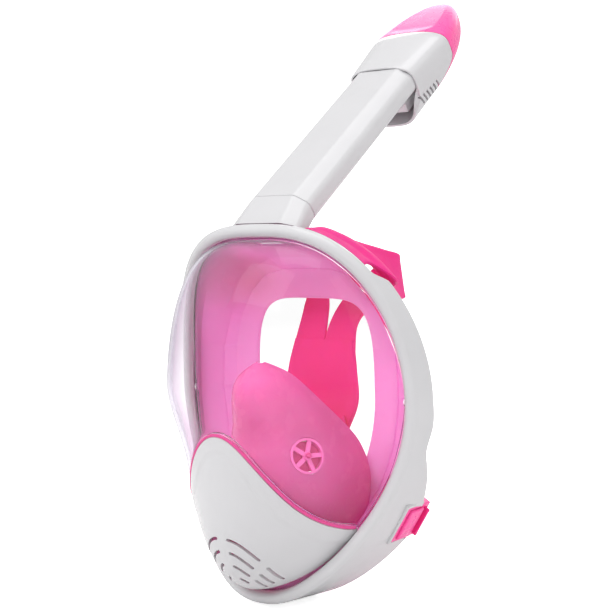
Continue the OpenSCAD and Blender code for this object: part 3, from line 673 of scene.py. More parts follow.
def rod_strip(name, rows):
    """Like rod_piece, for flat outlines whose ends are closed by quads across."""
    m = len(rows[0])
    faces = grid_faces(len(rows), m)
    for base, flip in ((0, False), ((len(rows) - 1) * m, True)):
        for j in range(m // 2 - 1):
            quad = (base + j, base + j + 1, base + m - 2 - j, base + m - 1 - j)
            faces.append(quad[::-1] if flip else quad)
    return mesh_piece(name, [p for r in rows for p in r], faces)


def block_piece(name, low, size, bevel=0.0, segments=3):
    """Block with rounded edges, from its low corner, in millimetres."""
    bm = bmesh.new()
    bmesh.ops.create_cube(bm, size=1)
    for v in bm.verts:
        v.co = Vector([(low[i] + size[i] * (v.co[i] + 0.5)) * MM for i in range(3)])
    if bevel:
        bmesh.ops.bevel(bm, geom=bm.edges[:], offset=bevel * MM, segments=segments, profile=0.5, affect="EDGES")
    mesh = bpy.data.meshes.new(name)
    bm.to_mesh(mesh)
    bm.free()
    obj = bpy.data.objects.new(name, mesh)
    bpy.context.scene.collection.objects.link(obj)
    return obj


def prism_piece(name, outline, z0, z1):
    """Straight solid over an outline."""
    return rod_piece(name, [[Vector((p.x, p.y, z)) for p in outline] for z in (z0, z1)])


def turned_piece(name, profile, steps=64):
    """Solid of revolution about Z from (radius, height) points."""
    turns = [360 * k / steps for k in range(steps)]
    return rod_piece(name, [[Vector((r * cosd(a), r * sind(a), z)) for a in turns] for r, z in profile])


def plain(obj):
    """Replace the object's modifiers by their result."""
    bpy.context.view_layer.update()
    graph = bpy.context.evaluated_depsgraph_get()
    mesh = bpy.data.meshes.new_from_object(obj.evaluated_get(graph), depsgraph=graph)
    old = obj.data
    obj.modifiers.clear()
    obj.data = mesh
    bpy.data.meshes.remove(old)
    mesh.name = obj.name
    return obj


def drop(obj):
    mesh = obj.data
    bpy.data.objects.remove(obj)
    bpy.data.meshes.remove(mesh)


def combine(obj, others, operation):
    """Add or cut the other closed pieces, which are used up."""
    for other in others:
        cut = obj.modifiers.new("combine", "BOOLEAN")
        cut.operation = operation
        cut.solver = "MANIFOLD"
        cut.object = other
        plain(obj)
        drop(other)
    return obj


def joined(obj, other):
    """Keep the other closed piece beside the first, in one mesh; the other is used up."""
    bm = bmesh.new()
    bm.from_mesh(obj.data)
    bm.from_mesh(other.data)
    bm.to_mesh(obj.data)
    bm.free()
    drop(other)
    return obj


def place(obj, matrix):
    """Put a piece made in millimetres about the origin where the matrix, in millimetres, says."""
    scale = Matrix.Scale(MM, 4)
    obj.data.transform(scale @ matrix @ scale.inverted())
    if matrix.determinant() < 0:
        obj.data.flip_normals()
    return obj


def soften(obj, width, segments=3, angle=32):
    """Round the sharp edges."""
    bevel = obj.modifiers.new("soften", "BEVEL")
    bevel.width = width * MM
    bevel.segments = segments
    bevel.limit_method = "ANGLE"
    bevel.angle_limit = math.radians(angle)
    bevel.use_clamp_overlap = True
    bevel.harden_normals = False
    return plain(obj)


def twin(obj, name):
    """The mirror image of a left piece."""
    mesh = obj.data.copy()
    mesh.transform(Matrix.Diagonal((-1, 1, 1, 1)))
    mesh.flip_normals()
    other = bpy.data.objects.new(name, mesh)
    bpy.context.scene.collection.objects.link(other)
    return other


def finished(obj, nodes, body, look, angle=38):
    """Shade, colour and hand the piece to its body, if it is given one; it stands for the CAD nodes."""
    mesh = obj.data
    mesh.polygons.foreach_set("use_smooth", [True] * len(mesh.polygons))
    mesh.set_sharp_from_angle(angle=math.radians(angle))
    mesh.materials.clear()
    mesh.materials.append(bpy.data.materials[look])
    if body:
        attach(obj, body)
    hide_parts(*nodes)
    return obj


# ---- geometry nodes ----
def new_tree(name, inputs):
    """A geometry tree with named inputs (name, socket type, default), and its links helper."""
    tree = bpy.data.node_groups.new(name, "GeometryNodeTree")
    tree.interface.new_socket("Geometry", in_out="INPUT", socket_type="NodeSocketGeometry")
    for label, kind, default in inputs:
        socket = tree.interface.new_socket(label, in_out="INPUT", socket_type=kind)
        if default is not None:
            socket.default_value = default
    tree.interface.new_socket("Geometry", in_out="OUTPUT", socket_type="NodeSocketGeometry")
    return tree


class Wires:
    """Short calls to add nodes and links to one tree."""

    def __init__(self, tree):
        self.tree = tree
        self.inp = tree.nodes.new("NodeGroupInput")

    def add(self, kind, _set=None, **links):
        node = self.tree.nodes.new(kind)
        for key, value in (_set or {}).items():
            setattr(node, key, value)
        for key, value in links.items():
            self.feed(node.inputs[key.replace("_", " ")], value)
        return node

    def feed(self, socket, value):
        if isinstance(value, bpy.types.NodeSocket):
            self.tree.links.new(value, socket)
        elif isinstance(value, bpy.types.Node):
            self.tree.links.new(value.outputs[0], socket)
        elif isinstance(value, list):
            for item in value:
                self.feed(socket, item)
        else:
            socket.default_value = value

    def sum(self, operation, a, b):
        node = self.tree.nodes.new("ShaderNodeMath")
        node.operation = operation
        self.feed(node.inputs[0], a)
        self.feed(node.inputs[1], b)
        return node.outputs[0]

    def xyz(self, x=0.0, y=0.0, z=0.0):
        node = self.tree.nodes.new("ShaderNodeCombineXYZ")
        for i, value in enumerate((x, y, z)):
            self.feed(node.inputs[i], value)
        return node.outputs[0]

    def end(self, geometry, material):
        """Finish with Realize Instances and Set Material."""
        real = self.add("GeometryNodeRealizeInstances", Geometry=geometry)
        paint = self.add("GeometryNodeSetMaterial", Geometry=real, Material=material)
        out = self.tree.nodes.new("NodeGroupOutput")
        self.feed(out.inputs[0], paint)


def grown(name, tree, values, mesh=None):
    """Run a tree on a new object, with its inputs set by their identifiers, and keep the plain mesh."""
    obj = bpy.data.objects.new(name, mesh or bpy.data.meshes.new(name))
    bpy.context.scene.collection.objects.link(obj)
    mod = obj.modifiers.new("grow", "NODES")
    mod.node_group = tree
    for item in tree.interface.items_tree:
        if item.item_type == "SOCKET" and item.in_out == "INPUT" and item.name in values:
            mod[item.identifier] = values[item.name]
    return plain(obj)


def wheel_tree():
    """Spoked valve wheel: rim, spokes and hub, standing on Z = 0."""
    tree = new_tree("Spoked wheel", [
        ("Radius", "NodeSocketFloat", 0.012), ("Wall", "NodeSocketFloat", 0.0018),
        ("Height", "NodeSocketFloat", 0.006), ("Hub radius", "NodeSocketFloat", 0.003),
        ("Spokes", "NodeSocketInt", 5), ("Bore", "NodeSocketFloat", 0.0013), ("Material", "NodeSocketMaterial", None),
    ])
    w = Wires(tree)
    inp = w.inp.outputs
    radius, wall, height, hub = inp["Radius"], inp["Wall"], inp["Height"], inp["Hub radius"]

    def drum(r, depth, z, sides=96):
        body = w.add("GeometryNodeMeshCylinder", Vertices=sides, Radius=r, Depth=depth)
        return w.add("GeometryNodeTransform", Geometry=body, Translation=w.xyz(z=z))

    def cut(a, others, operation):
        node = w.add("GeometryNodeMeshBoolean", {"operation": operation, "solver": "EXACT"})
        if operation == "DIFFERENCE":
            w.feed(node.inputs["Mesh 1"], a)
            w.feed(node.inputs["Mesh 2"], others)
        else:
            w.feed(node.inputs["Mesh 2"], [a] + others)
        return node

    half = w.sum("MULTIPLY", height, 0.5)
    inner = w.sum("SUBTRACT", radius, wall)
    rim = cut(drum(radius, height, half), [drum(inner, w.sum("MULTIPLY", height, 1.5), half)], "DIFFERENCE")
    # one spoke reaches from inside the hub into the rim; its top is rounded over by the later bevel
    start = w.sum("SUBTRACT", hub, 0.001)
    reach = w.sum("SUBTRACT", w.sum("ADD", inner, 0.0006), start)
    bar = w.add("GeometryNodeMeshCube", Size=w.xyz(reach, 0.003, 0.0016))
    middle = w.sum("ADD", start, w.sum("MULTIPLY", reach, 0.5))
    lift = w.sum("SUBTRACT", height, 0.0014)
    bar = w.add("GeometryNodeTransform", Geometry=bar, Translation=w.xyz(middle, 0.0, lift))
    points = w.add("GeometryNodePoints", Count=inp["Spokes"])
    index = w.tree.nodes.new("GeometryNodeInputIndex")
    angle = w.sum("DIVIDE", w.sum("MULTIPLY", index.outputs[0], math.tau), inp["Spokes"])
    turn = w.xyz(0.0, 0.0, w.sum("ADD", angle, math.pi / 2))
    bars = w.add("GeometryNodeInstanceOnPoints", Points=points.outputs[0], Instance=bar, Rotation=turn)
    bars = w.add("GeometryNodeRealizeInstances", Geometry=bars)
    knob = drum(hub, 0.0028, w.sum("SUBTRACT", height, 0.0012), 48)
    whole = cut(rim, [bars.outputs[0], knob.outputs[0]], "UNION")
    w.end(cut(whole, [drum(inp["Bore"], 0.03, 0.0, 32)], "DIFFERENCE"), inp["Material"])
    return tree


def stack_tree():
    """A row of like blocks, such as vents or grip ribs, from the origin along a step."""
    tree = new_tree("Row of blocks", [
        ("Count", "NodeSocketInt", 6), ("Step", "NodeSocketVector", (0.0, 0.0, 0.0046)),
        ("Size", "NodeSocketVector", (0.01, 0.01, 0.0018)), ("Tilt", "NodeSocketVector", (0.0, 0.0, 0.0)),
        ("Material", "NodeSocketMaterial", None),
    ])
    w = Wires(tree)
    inp = w.inp.outputs
    block = w.add("GeometryNodeMeshCube", Size=inp["Size"])
    line = w.add("GeometryNodeMeshLine", {"mode": "OFFSET"}, Count=inp["Count"], Offset=inp["Step"])
    row = w.add("GeometryNodeInstanceOnPoints", Points=line, Instance=block, Rotation=inp["Tilt"])
    w.end(row, inp["Material"])
    return tree


def path_tree():
    """Blocks set square along the object's own line, such as snap tabs round a rim."""
    tree = new_tree("Blocks on a path", [
        ("Size", "NodeSocketVector", (0.006, 0.002, 0.0038)), ("Material", "NodeSocketMaterial", None),
    ])
    w = Wires(tree)
    inp = w.inp.outputs
    curve = w.add("GeometryNodeMeshToCurve", Mesh=inp["Geometry"])
    points = w.add("GeometryNodeCurveToPoints", {"mode": "EVALUATED"}, Curve=curve)
    block = w.add("GeometryNodeMeshCube", Size=inp["Size"])
    row = w.add("GeometryNodeInstanceOnPoints", Points=points, Instance=block, Rotation=points.outputs["Rotation"])
    w.end(row, inp["Material"])
    return tree


def slot_tree():
    """Slots along the object's own lines: a flat bar on each line, with round ends, running along Y."""
    tree = new_tree("Slots on lines", [
        ("Width", "NodeSocketFloat", 0.0026), ("Depth", "NodeSocketFloat", 0.07),
        ("Material", "NodeSocketMaterial", None),
    ])
    w = Wires(tree)
    inp = w.inp.outputs
    curve = w.add("GeometryNodeMeshToCurve", Mesh=inp["Geometry"])
    curve = w.add("GeometryNodeSetCurveNormal", {"mode": "Z_UP"}, Curve=curve)
    outline = w.add("GeometryNodeCurvePrimitiveQuadrilateral", Width=inp["Depth"], Height=inp["Width"])
    bars = w.add("GeometryNodeCurveToMesh", {}, Curve=curve, Profile_Curve=outline, Fill_Caps=True)
    ends = w.add("GeometryNodeCurveEndpointSelection")
    half = w.sum("MULTIPLY", inp["Width"], 0.5)
    knob = w.add("GeometryNodeMeshCylinder", Vertices=24, Radius=half, Depth=inp["Depth"])
    along_y = w.xyz(math.pi / 2)
    knobs = w.add("GeometryNodeInstanceOnPoints", Points=curve, Instance=knob, Rotation=along_y, Selection=ends)
    ends = w.add("GeometryNodeRealizeInstances", Geometry=knobs)
    whole = w.add("GeometryNodeMeshBoolean", {"operation": "UNION", "solver": "EXACT"}, Self_Intersection=True)
    w.feed(whole.inputs["Mesh 2"], [bars.outputs[0], ends.outputs[0]])
    w.end(whole, inp["Material"])
    return tree


# ---- materials ----
class Paint:
    """Short calls to build one material's nodes on Object coordinates."""

    def __init__(self, name):
        self.mat = bpy.data.materials.new(name)
        self.mat.use_nodes = True
        self.nodes = self.mat.node_tree.nodes
        self.bsdf = self.nodes["Principled BSDF"]
        self.out = self.nodes["Material Output"]
        self.where = self.nodes.new("ShaderNodeTexCoord").outputs["Object"]

    def link(self, a, b):
        self.mat.node_tree.links.new(a, b)

    def noise(self, scale, detail=3.0):
        node = self.nodes.new("ShaderNodeTexNoise")
        node.inputs["Scale"].default_value = scale
        node.inputs["Detail"].default_value = detail
        self.link(self.where, node.inputs["Vector"])
        return node.outputs["Fac"]

    def span(self, value, low, high, a=0.3, b=0.7):
        node = self.nodes.new("ShaderNodeMapRange")
        self.link(value, node.inputs["Value"])
        for key, number in (("From Min", a), ("From Max", b), ("To Min", low), ("To Max", high)):
            node.inputs[key].default_value = number
        return node.outputs["Result"]

    def blend(self, fac, a, b):
        node = self.nodes.new("ShaderNodeMix")
        node.data_type = "RGBA"
        self.link(fac, node.inputs["Factor"])
        node.inputs["A"].default_value = (*a, 1)
        node.inputs["B"].default_value = (*b, 1)
        return node.outputs["Result"]

    def bump(self, height, strength, reach, below=None):
        node = self.nodes.new("ShaderNodeBump")
        node.inputs["Strength"].default_value = strength
        node.inputs["Distance"].default_value = reach
        self.link(height, node.inputs["Height"])
        if below is not None:
            self.link(below, node.inputs["Normal"])
        return node.outputs["Normal"]

    def base(self, rgb, change=0.06, scale=28):
        """Base colour that drifts a little over the piece."""
        darker = [c * (1 - change) for c in rgb]
        self.link(self.blend(self.span(self.noise(scale), 0, 1), darker, rgb), self.bsdf.inputs["Base Color"])

    def set(self, **values):
        for key, value in values.items():
            self.bsdf.inputs[key.replace("_", " ")].default_value = value


def glossy_plastic(name, rgb, rough=0.2, coat=0.5, peel=0.05, change=0.03):
    """Injection-moulded gloss: faint orange peel, a clear coat and slightly uneven gloss."""
    p = Paint(name)
    p.base(rgb, change)
    p.link(p.span(p.noise(160, 4), rough - 0.04, rough + 0.06), p.bsdf.inputs["Roughness"])
    fine = p.bump(p.noise(1500, 2), peel, 0.0002)
    p.link(p.bump(p.noise(120, 2), peel * 1.6, 0.0008, fine), p.bsdf.inputs["Normal"])
    p.set(Coat_Weight=coat, Coat_Roughness=0.08, IOR=1.5)
    return p.mat


def satin_plastic(name, rgb, rough=0.45):
    """Spark-eroded satin moulding: fine even grain."""
    p = Paint(name)
    p.base(rgb, 0.05, 60)
    p.link(p.span(p.noise(400, 3), rough - 0.06, rough + 0.08), p.bsdf.inputs["Roughness"])
    p.link(p.bump(p.noise(3200, 3), 0.18, 0.0001), p.bsdf.inputs["Normal"])
    return p.mat


def silicone(name, rgb, rough, through, bright, shine=0.5, ripple=0.1):
    """Silicone: light passes through it, its gloss is uneven, and its skin has soft ripples."""
    p = Paint(name)
    p.base(rgb, 0.10, 24)
    p.link(p.span(p.noise(90, 4), rough - 0.07, rough + 0.1), p.bsdf.inputs["Roughness"])
    fine = p.bump(p.noise(1800, 2), 0.06, 0.0001)
    normal = p.bump(p.noise(46, 3), ripple, 0.002, fine)
    p.link(normal, p.bsdf.inputs["Normal"])
    p.set(Subsurface_Weight=0.25, Subsurface_Radius=(0.006, 0.002, 0.003), Subsurface_Scale=1.0)
    p.set(Specular_IOR_Level=shine, IOR=1.41)
    if through > 0:
        glow = p.nodes.new("ShaderNodeBsdfTranslucent")
        p.link(p.blend(p.span(p.noise(18), 0, 1), [c * 0.92 for c in bright], bright), glow.inputs["Color"])
        both = p.nodes.new("ShaderNodeMixShader")
        both.inputs["Fac"].default_value = through
        p.link(p.bsdf.outputs[0], both.inputs[1])
        p.link(glow.outputs[0], both.inputs[2])
        p.link(both.outputs[0], p.out.inputs["Surface"])
    return p.mat


def clear_plastic(name, rgb):
    """Polished polycarbonate that lets lamps through; the edges take a lavender tint."""
    p = Paint(name)
    grazing = p.nodes.new("ShaderNodeLayerWeight")
    grazing.inputs["Blend"].default_value = 0.35
    edge = p.span(grazing.outputs["Facing"], 0, 1, 0.32, 0.86)
    p.link(p.blend(edge, rgb, (0.58, 0.44, 0.7)), p.bsdf.inputs["Base Color"])
    p.link(p.span(p.noise(60, 3), 0.0, 0.035), p.bsdf.inputs["Roughness"])
    p.link(p.bump(p.noise(30, 2), 0.02, 0.002), p.bsdf.inputs["Normal"])
    p.set(Transmission_Weight=1.0, IOR=1.28)
    ray = p.nodes.new("ShaderNodeLightPath")
    clear = p.nodes.new("ShaderNodeBsdfTransparent")
    clear.inputs["Color"].default_value = (1, 1, 1, 1)
    both = p.nodes.new("ShaderNodeMixShader")
    p.link(ray.outputs["Is Shadow Ray"], both.inputs["Fac"])
    p.link(p.bsdf.outputs[0], both.inputs[1])
    p.link(clear.outputs[0], both.inputs[2])
    p.link(both.outputs[0], p.out.inputs["Surface"])
    return p.mat


def studio_white(name):
    """Seamless white floor that still keeps the shadow."""
    p = Paint(name)
    p.base((0.9, 0.9, 0.9), 0.01, 3)
    p.set(Roughness=0.75, Specular_IOR_Level=0.1)
    ray = p.nodes.new("ShaderNodeLightPath")
    seen = p.nodes.new("ShaderNodeMath")
    seen.operation = "MULTIPLY_ADD"
    p.link(ray.outputs["Is Transmission Ray"], seen.inputs[0])
    seen.inputs[1].default_value = FLOOR_GLOW_IN_GLASS
    p.link(ray.outputs["Is Camera Ray"], seen.inputs[2])
    scale = p.nodes.new("ShaderNodeMath")
    scale.operation = "MULTIPLY"
    p.link(seen.outputs[0], scale.inputs[0])
    scale.inputs[1].default_value = FLOOR_GLOW
    p.bsdf.inputs["Emission Color"].default_value = (1, 1, 1, 1)
    p.link(scale.outputs[0], p.bsdf.inputs["Emission Strength"])
    return p.mat


# ---- operators ----
class SNORKEL_OT_stage(bpy.types.Operator):
    """Make the white studio, its lamps and the camera"""

    bl_idname = "snorkel.stage"
    bl_label = "Studio"

    def execute(self, context):
        low = CAD_BOX[0][2] - 0.0002
        rows = []
        for k in range(33):
            y = mix(-6, 2.2, k / 16) if k <= 16 else 2.2 + 1.6 * sind(90 * (k - 16) / 16)
            z = low + (0 if k <= 16 else 1.6 * (1 - cosd(90 * (k - 16) / 16)))
            rows.append([(x, y, z) for x in (-7, 7)])
        rows.append([(x, 3.8, 8) for x in (-7, 7)])
        turn = Matrix.Rotation(math.radians(CAMERA_AZIMUTH), 3, "Z")
        points = [turn @ Vector(p) for row in rows for p in row]
        mesh = bpy.data.meshes.new("backdrop")
        mesh.from_pydata(points, [], [(2 * i, 2 * i + 1, 2 * i + 3, 2 * i + 2) for i in range(len(rows) - 1)])
        mesh.polygons.foreach_set("use_smooth", [True] * len(mesh.polygons))
        mesh.materials.append(studio_white("studio_white"))
        floor = bpy.data.objects.new("backdrop", mesh)
        context.scene.collection.objects.link(floor)

        world = bpy.data.worlds.new("studio_air")
        context.scene.world = world
        world.use_nodes = True
        air = world.node_tree.nodes["Background"]
        air.inputs["Color"].default_value = (1, 1, 1, 1)
        air.inputs["Strength"].default_value = AIR_GLOW

        for name, azimuth, elevation, reach, size, power in LAMPS:
            lamp = bpy.data.lights.new(name, "AREA")
            lamp.shape = "RECTANGLE"
            lamp.size, lamp.size_y = size
            lamp.energy = power
            obj = bpy.data.objects.new(name, lamp)
            toward = direction(azimuth, elevation)
            obj.location = Vector(LAMP_MIDDLE) + toward * reach
            obj.rotation_euler = toward.to_track_quat("Z", "Y").to_euler()
            obj.visible_glossy = name in LAMPS_IN_GLOSS
            context.scene.collection.objects.link(obj)

        cam = bpy.data.cameras.new("camera")
        cam.sensor_width = SENSOR_WIDTH
        cam.lens = FOCAL_LENGTH
        cam.clip_start = 0.01
        eye = bpy.data.objects.new("camera", cam)
        away = direction(CAMERA_AZIMUTH, CAMERA_ELEVATION)
        right = (-away).cross(Vector((0, 0, 1))).normalized()
        up = right.cross(-away)
        tilt = Matrix.Rotation(math.radians(CAMERA_ROLL), 3, -away)
        right, up = tilt @ right, tilt @ up
        look = -away + right * CAMERA_AIM[0] + up * CAMERA_AIM[1]
        look.normalize()
        right = look.cross(up).normalized()
        up = right.cross(look)
        pose = Matrix((right, up, -look)).transposed().to_4x4()
        pose.translation = Vector(CAMERA_MIDDLE) + away * CAMERA_AWAY
        eye.matrix_world = pose
        context.scene.collection.objects.link(eye)
        context.scene.camera = eye
        context.scene.view_settings.view_transform = "Standard"
        return {"FINISHED"}


class SNORKEL_OT_materials(bpy.types.Operator):
    """Make the materials"""

    bl_idname = "snorkel.materials"
    bl_label = "Materials"

    def execute(self, context):
        c = context.scene.mask_colours
        glossy_plastic("shell_white", c.shell)
        satin_plastic("inner_plastic", c.inner)
        clear_plastic("window_clear", c.window)
        silicone("skirt_skin", c.silicone, 0.34, 0.56, (1.0, 0.5, 0.86), 0.3)
        silicone("pocket_silicone", c.pocket, 0.22, 0.35, (1.0, 0.18, 0.56), 0.4)
        glossy_plastic("accent_gloss", c.accent, 0.28, 0.15, 0.06, 0.05)
        silicone("strap_skin", c.strap, 0.45, 0.2, (1.0, 0.03, 0.20), 0.3)
        silicone("seal_skin", c.seal, 0.4, 0.1, (0.9, 0.12, 0.3))
        satin_plastic("valve_satin", c.valve, 0.32)
        return {"FINISHED"}


class SNORKEL_OT_frame(bpy.types.Operator):
    """Make the frame: bead, side wall, clip housings and strap lugs"""

    bl_idname = "snorkel.frame"
    bl_label = "Frame"

    def execute(self, context):
        read_sizes()
        n = 300
        rows = [[rim_at(360 * i / n, p.x, p.y) for p in frame_section(360 * i / n)] for i in range(n)]
        shell = ring_piece("frame_shell", rows)
        adds, cuts = [], []
        half = form.clip_w / 2
        for side in (1, -1):
            at = clip_frame(side)
            low = (-CLIP_THICK - 3.6, -CLIP_DEEP - 1.6, -half - 2)
            size = (CLIP_THICK + 2, CLIP_DEEP + 1.6, 2 * half + 4)
            adds.append(place(block_piece("clip_housing", low, size, 0.8), at))
            low = (-CLIP_THICK - 1.6, -CLIP_DEEP, -half - 0.2)
            size = (CLIP_THICK + 12, CLIP_DEEP + 20, 2 * half + 0.4)
            cuts.append(place(block_piece("clip_slot", low, size, 0.5), at))
            s0, s1, end = TONGUE_S, TONGUE_S + TONGUE_W, TONGUE_END
            section = ((s1, 2), (s1, end - 0.4), (s1 - 0.3, end), (s0 + 0.3, end), (s0, end - 0.4), (s0, 2))
            rows = [[rim_at(mix(*TONGUE, i / 24), s, d) for s, d in section] for i in range(25)]
            adds.append(place(rod_piece("tongue", rows), Matrix.Diagonal((side, 1, 1, 1))))
            stud = [(STUD_R, 0), (STUD_R, 1.6), (STUD_R - 0.3, 1.9)]
            adds.append(place(turned_piece("stud", stud, 40), stud_frame(side, s0 + 0.6)))
        seat = foot_ring(0)
        edge = FOOT_W + GAP
        cuts.append(block_piece("seat", (-edge, min(p.y for p in seat) - 0.6 - GAP, form.rim_top + LIP - 1.6),
                                (2 * edge, 60, 20), 0.6))
        combine(shell, adds, "UNION")
        combine(shell, cuts, "DIFFERENCE")
        finished(shell, ["mask_frame"], "mask", "shell_white", 30)
        return {"FINISHED"}


class SNORKEL_OT_window(bpy.types.Operator):
    """Make the clear window with its thickened lower lip and its flange"""

    bl_idname = "snorkel.window"
    bl_label = "Window"

    def execute(self, context):
        read_sizes()
        lip = lambda u, v: form.lens_wall + 0.9 * math.exp(-((v / 0.05) ** 2))
        dome = sheet_piece("clear_window", lens_srf, 150, 64, lip, edge=5)
        n = 240
        section = rounded([(0.1, 2.9, 0.3), (LIP, 2.9, 0.3), (LIP, 4.7, 0.3), (0.1, 4.7, 0.3)], 2)
        joined(dome, ring_piece("flange", [[rim_at(360 * i / n, p.x, p.y) for p in section] for i in range(n)]))
        finished(dome, ["visor_lens"], "mask", "window_clear", 40)
        return {"FINISHED"}


class SNORKEL_OT_cover(bpy.types.Operator):
    """Make the chin cover with its arched exhaust slots, and the gasket along its upper edge"""

    bl_idname = "snorkel.cover"
    bl_label = "Chin cover"

    def execute(self, context):
        read_sizes()

        def lift(u, v):
            # the band along the S-shaped edge stands a little proud of the rest
            p = cover_srf(u, v)
            away = (join_z(p.x) - join_gap(p.x) - p.z) / math.hypot(1, join_z(p.x + 0.5) - join_z(p.x - 0.5))
            return 0.6 - 0.55 * ease((away - 7.5) / 3.5)

        cover = sheet_piece("chin_shell", cover_srf, 150, 76, lambda u, v: form.cover_wall, lift, 6)
        lines = bpy.data.meshes.new("slot_lines")
        points, edges = [], []
        for k in range(SLOT_ROWS):
            reach, fall = slot_row(k)
            for side in (-1, 1):
                for run in slot_runs(reach, fall)[: 2 if k < SLOT_ROWS - 1 else 1]:
                    start = len(points)
                    points += [Vector((side * x, -95, SLOT_Z - k * form.slot_pitch + z)) * MM for x, z in run]
                    edges += [(start + i, start + i + 1) for i in range(len(run) - 1)]
        lines.from_pydata(points, edges, [])
        values = {"Width": SLOT_SHARE * form.slot_w * MM, "Depth": SLOT_DEPTH * MM,
                  "Material": bpy.data.materials["shell_white"]}
        slots = grown("slots", slot_tree(), values, lines)
        combine(cover, [slots], "DIFFERENCE")
        finished(cover, ["chin_cover"], "mask", "shell_white", 35)

        rings, n = [], 120
        for i in range(n + 1):
            x = form.cover_half_w * sind(mix(-88, 88, i / n))
            c = dome_at(x, join_z(x))
            d = (dome_at(x + 0.5, join_z(x + 0.5)) - dome_at(x - 0.5, join_z(x - 0.5))).normalized()
            a = d.cross(Vector((0, -1, 0))).normalized()
            b = d.cross(a)
            rings.append([c + a * cosd(30 * k) + b * sind(30 * k) for k in range(12)])
        gasket = rod_piece("chin_gasket_line", rings)
        finished(gasket, ["chin_gasket"], "mask", "seal_skin")
        return {"FINISHED"}


def slot_row(k):
    """Reach and fall of the k-th row of slots."""
    return 21.5 - 5.3 * k + 0.28 * k * k, 15.4 - 3.2 * k


def slot_runs(reach, fall):
    """The long slot beside the middle and the short, steeper one beyond it."""
    half = form.slot_w / 2
    xs = [mix(SLOT_START + half, reach - half * 0.8, i / 8) for i in range(9)]
    long = [(x, -fall * (x / reach) ** 2.6) for x in xs]
    low, high = (1.06 * reach, -1.25 * fall), (1.16 * reach, -1.95 * fall)
    short = [(mix(low[0], high[0], f), mix(low[1], high[1], f)) for f in (0.1, 0.5, 0.9)]
    return long, short


class SNORKEL_OT_clamp(bpy.types.Operator):
    """Make the clamp ring with its snap tabs"""

    bl_idname = "snorkel.clamp"
    bl_label = "Clamp ring"

    def execute(self, context):
        read_sizes()
        n = 240
        section = rounded([(-0.6, 8.2, 0.4), (LIP, 8.2, 0.4), (LIP, 12, 0.4), (-0.6, 12, 0.4)], 2)
        ring = ring_piece("clamp_band", [[rim_at(360 * i / n, p.x, p.y) for p in section] for i in range(n)])
        path = bpy.data.meshes.new("tab_path")
        n_tabs = len(TABS)
        points = [rim_at(90 + a, LIP + 0.2, 10.1) * MM for a in TABS]
        path.from_pydata(points, [(k, (k + 1) % n_tabs) for k in range(n_tabs)], [])
        values = {"Size": Vector((1.7, 3.4, 11)) * MM, "Material": bpy.data.materials["inner_plastic"]}
        combine(ring, [grown("tabs", path_tree(), values, path)], "UNION")
        finished(ring, ["clamp_ring"], "mask", "inner_plastic")
        return {"FINISHED"}


class SNORKEL_OT_skirt(bpy.types.Operator):
    """Make the silicone skirt with its faceted inner wall and rolled face seal"""

    bl_idname = "snorkel.skirt"
    bl_label = "Skirt"

    def execute(self, context):
        read_sizes()
        n = 300

        def wall(t, u, v, d=0.0, flat=0.0):
            """The skirt's wall, drawn towards flat panels between the corners of the facets."""
            u = min(1, u + 0.26 * math.exp(-(((abs(t - 90) - 42) / 20) ** 2)) * sind(180 * min(1, v)))
            p = skirt_at(t, u, v, d)
            k = 0
            while k < len(FACETS) - 2 and FACETS[k + 1] <= t % 360:
                k += 1
            a, b = FACETS[k], FACETS[k + 1]
            f = (t % 360 - a) / (b - a)
            straight = skirt_at(a, u, v, d).lerp(skirt_at(b, u, v, d), f)
            crease = 1.1 * flat * math.exp(-((min(f, 1 - f) * (b - a) / 0.9) ** 2))
            return p.lerp(straight, flat) - Vector((0, crease, 0))

        rows = []
        for i in range(n):
            t = 360 * i / n
            row = [rim_at(t, LIP, 5), rim_at(t, -1.6, 5), wall(t, 0.04, 0.12, 0, 0.2)]
            row += [wall(t, u, v, d, flat) for u, v, d, flat in SKIRT_FRONT]
            row += [wall(t, u, v, form.skin + d, flat) for u, v, d, flat in SKIRT_BACK]
            row += [rim_at(t, -0.8, 8), rim_at(t, LIP, 8)]
            rows.append(row)
        skirt = ring_piece("face_seal_skirt", rows)
        y = rim_y(0, form.rim_top)
        combine(skirt, [block_piece("port", (-PORT_HALF, y + 12.4, form.rim_top - 14), (2 * PORT_HALF, 9, 18), 1.5)],
                "DIFFERENCE")
        finished(skirt, ["face_skirt"], "mask", "skirt_skin", 12)
        return {"FINISHED"}


class SNORKEL_OT_pocket(bpy.types.Operator):
    """Make the nose pocket with the ports of its three valves"""

    bl_idname = "snorkel.pocket"
    bl_label = "Nose pocket"

    def execute(self, context):
        read_sizes()
        # a stiffening band runs along the rear edges, and a thicker ring round each port
        thick = lambda u, v: form.skin + 0.5 * math.exp(-((min(u, 1 - u) / 0.02) ** 2))
        shape = lambda u, v: pouch(u, mix(POCKET_START, 1, v))
        pocket = sheet_piece("nose_pocket_skin", shape, 150, 110, thick, edge=5)
        cuts, adds = [], []
        for at, r in ((wheel_frame(1), form.wheel_r), (wheel_frame(-1), form.wheel_r), (drain_frame(), form.drain_r)):
            collar = [
                (r + 0.15, -1.9), (r + 1.7, -1.9), (r + 2.0, -1.6), (r + 2.0, 0.3), (r + 1.7, 0.6), (r + 0.15, 0.6),
            ]
            rows = [[Vector((a * cosd(3.75 * k), a * sind(3.75 * k), z)) for a, z in collar] for k in range(96)]
            adds.append(place(ring_piece("collar", rows), at))
            cuts.append(place(turned_piece("port", [(r + 0.15, -12), (r + 0.15, 12)], 96), at))
        combine(pocket, adds, "UNION")
        combine(pocket, cuts, "DIFFERENCE")
        finished(pocket, ["nose_pocket"], "mask", "pocket_silicone", 40)
        return {"FINISHED"}


